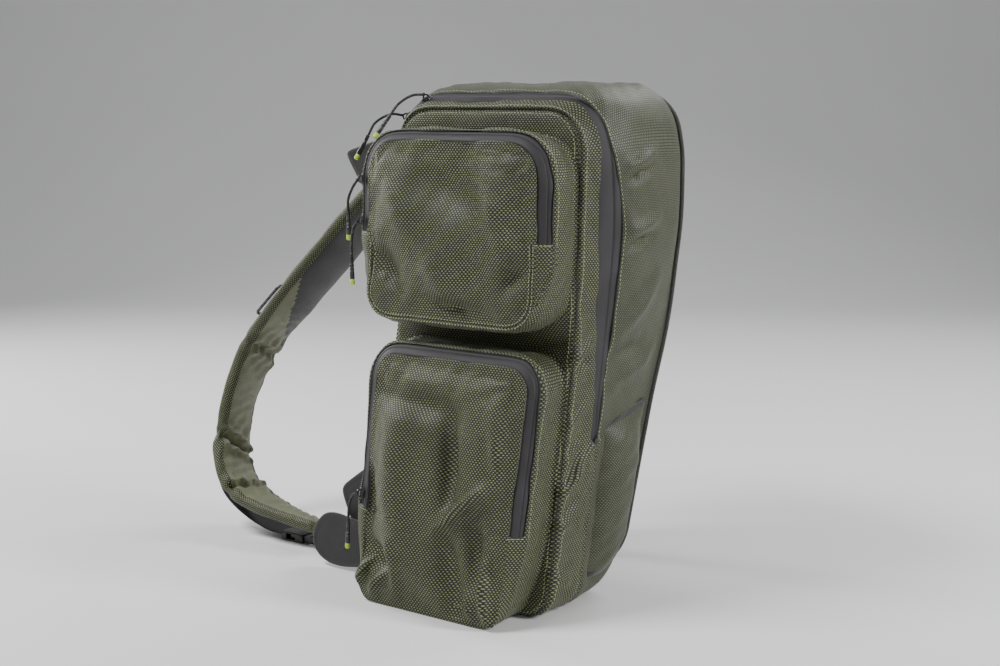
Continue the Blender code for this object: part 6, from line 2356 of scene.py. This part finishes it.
class RUCKSACK_OT_straps(bpy.types.Operator):
    """Both padded straps, the left one kinked and gathered."""

    bl_idname = "rucksack.straps"
    bl_label = "Shoulder straps"

    def execute(self, context):
        make_materials()
        build_strap("strap_left_pad", LEFT_STRAP, "strap_left", (0.60, 0.77, 0.87), 0.45)
        build_strap("strap_right_pad", RIGHT_STRAP, "strap_right", (0.62,))
        return {"FINISHED"}


class RUCKSACK_OT_webbing(bpy.types.Operator):
    """The three webbings."""

    bl_idname = "rucksack.webbing"
    bl_label = "Webbing"

    def execute(self, context):
        make_materials()
        build_webbing()
        return {"FINISHED"}


class RUCKSACK_OT_strap_loop(bpy.types.Operator):
    """Bent wire loop on the left strap."""

    bl_idname = "rucksack.strap_loop"
    bl_label = "Strap loop"

    def execute(self, context):
        make_materials()
        build_ring()
        return {"FINISHED"}


class RUCKSACK_OT_buckle(bpy.types.Operator):
    """Socket and tongue of the buckle."""

    bl_idname = "rucksack.buckle"
    bl_label = "Buckle"

    def execute(self, context):
        make_materials()
        build_buckle()
        return {"FINISHED"}


class RUCKSACK_OT_tabs(bpy.types.Operator):
    """Both wings and the round tab at the left edge."""

    bl_idname = "rucksack.tabs"
    bl_label = "Tabs"

    def execute(self, context):
        make_materials()
        for row in TABS:
            build_tab(*row)
        return {"FINISHED"}


STEPS = (
    "stage", "pulls", "pack", "main_zip", "upper_pocket", "lower_pocket", "pocket_zips", "seams",
    "side_pocket", "back_panel", "piping", "straps", "webbing", "strap_loop", "buckle", "tabs",
)


class RUCKSACK_PT_sidebar(bpy.types.Panel):
    """Sizes, colours and steps of the rucksack."""

    bl_idname = "RUCKSACK_PT_sidebar"
    bl_label = "Fishing rucksack"
    bl_space_type = "VIEW_3D"
    bl_region_type = "UI"
    bl_category = "Rucksack"

    def draw(self, context):
        column = self.layout.column()
        for key in RucksackLook.__annotations__:
            column.prop(context.scene.rucksack_look, key)
        for step in STEPS:
            column.operator("rucksack." + step)


CLASSES = (
    RucksackLook,
    RUCKSACK_OT_stage, RUCKSACK_OT_pulls, RUCKSACK_OT_pack,
    RUCKSACK_OT_main_zip, RUCKSACK_OT_upper_pocket, RUCKSACK_OT_lower_pocket,
    RUCKSACK_OT_pocket_zips, RUCKSACK_OT_seams, RUCKSACK_OT_side_pocket,
    RUCKSACK_OT_back_panel, RUCKSACK_OT_piping, RUCKSACK_OT_straps,
    RUCKSACK_OT_webbing, RUCKSACK_OT_strap_loop, RUCKSACK_OT_buckle,
    RUCKSACK_OT_tabs,
    RUCKSACK_PT_sidebar,
)


def register():
    for item in CLASSES:
        bpy.utils.register_class(item)
    bpy.types.Scene.rucksack_look = PointerProperty(type=RucksackLook)


def unregister():
    del bpy.types.Scene.rucksack_look
    for item in reversed(CLASSES):
        bpy.utils.unregister_class(item)


def main():
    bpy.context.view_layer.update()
    register()
    for step in STEPS:
        getattr(bpy.ops.rucksack, step)()


if __name__ == "__main__":
    main()
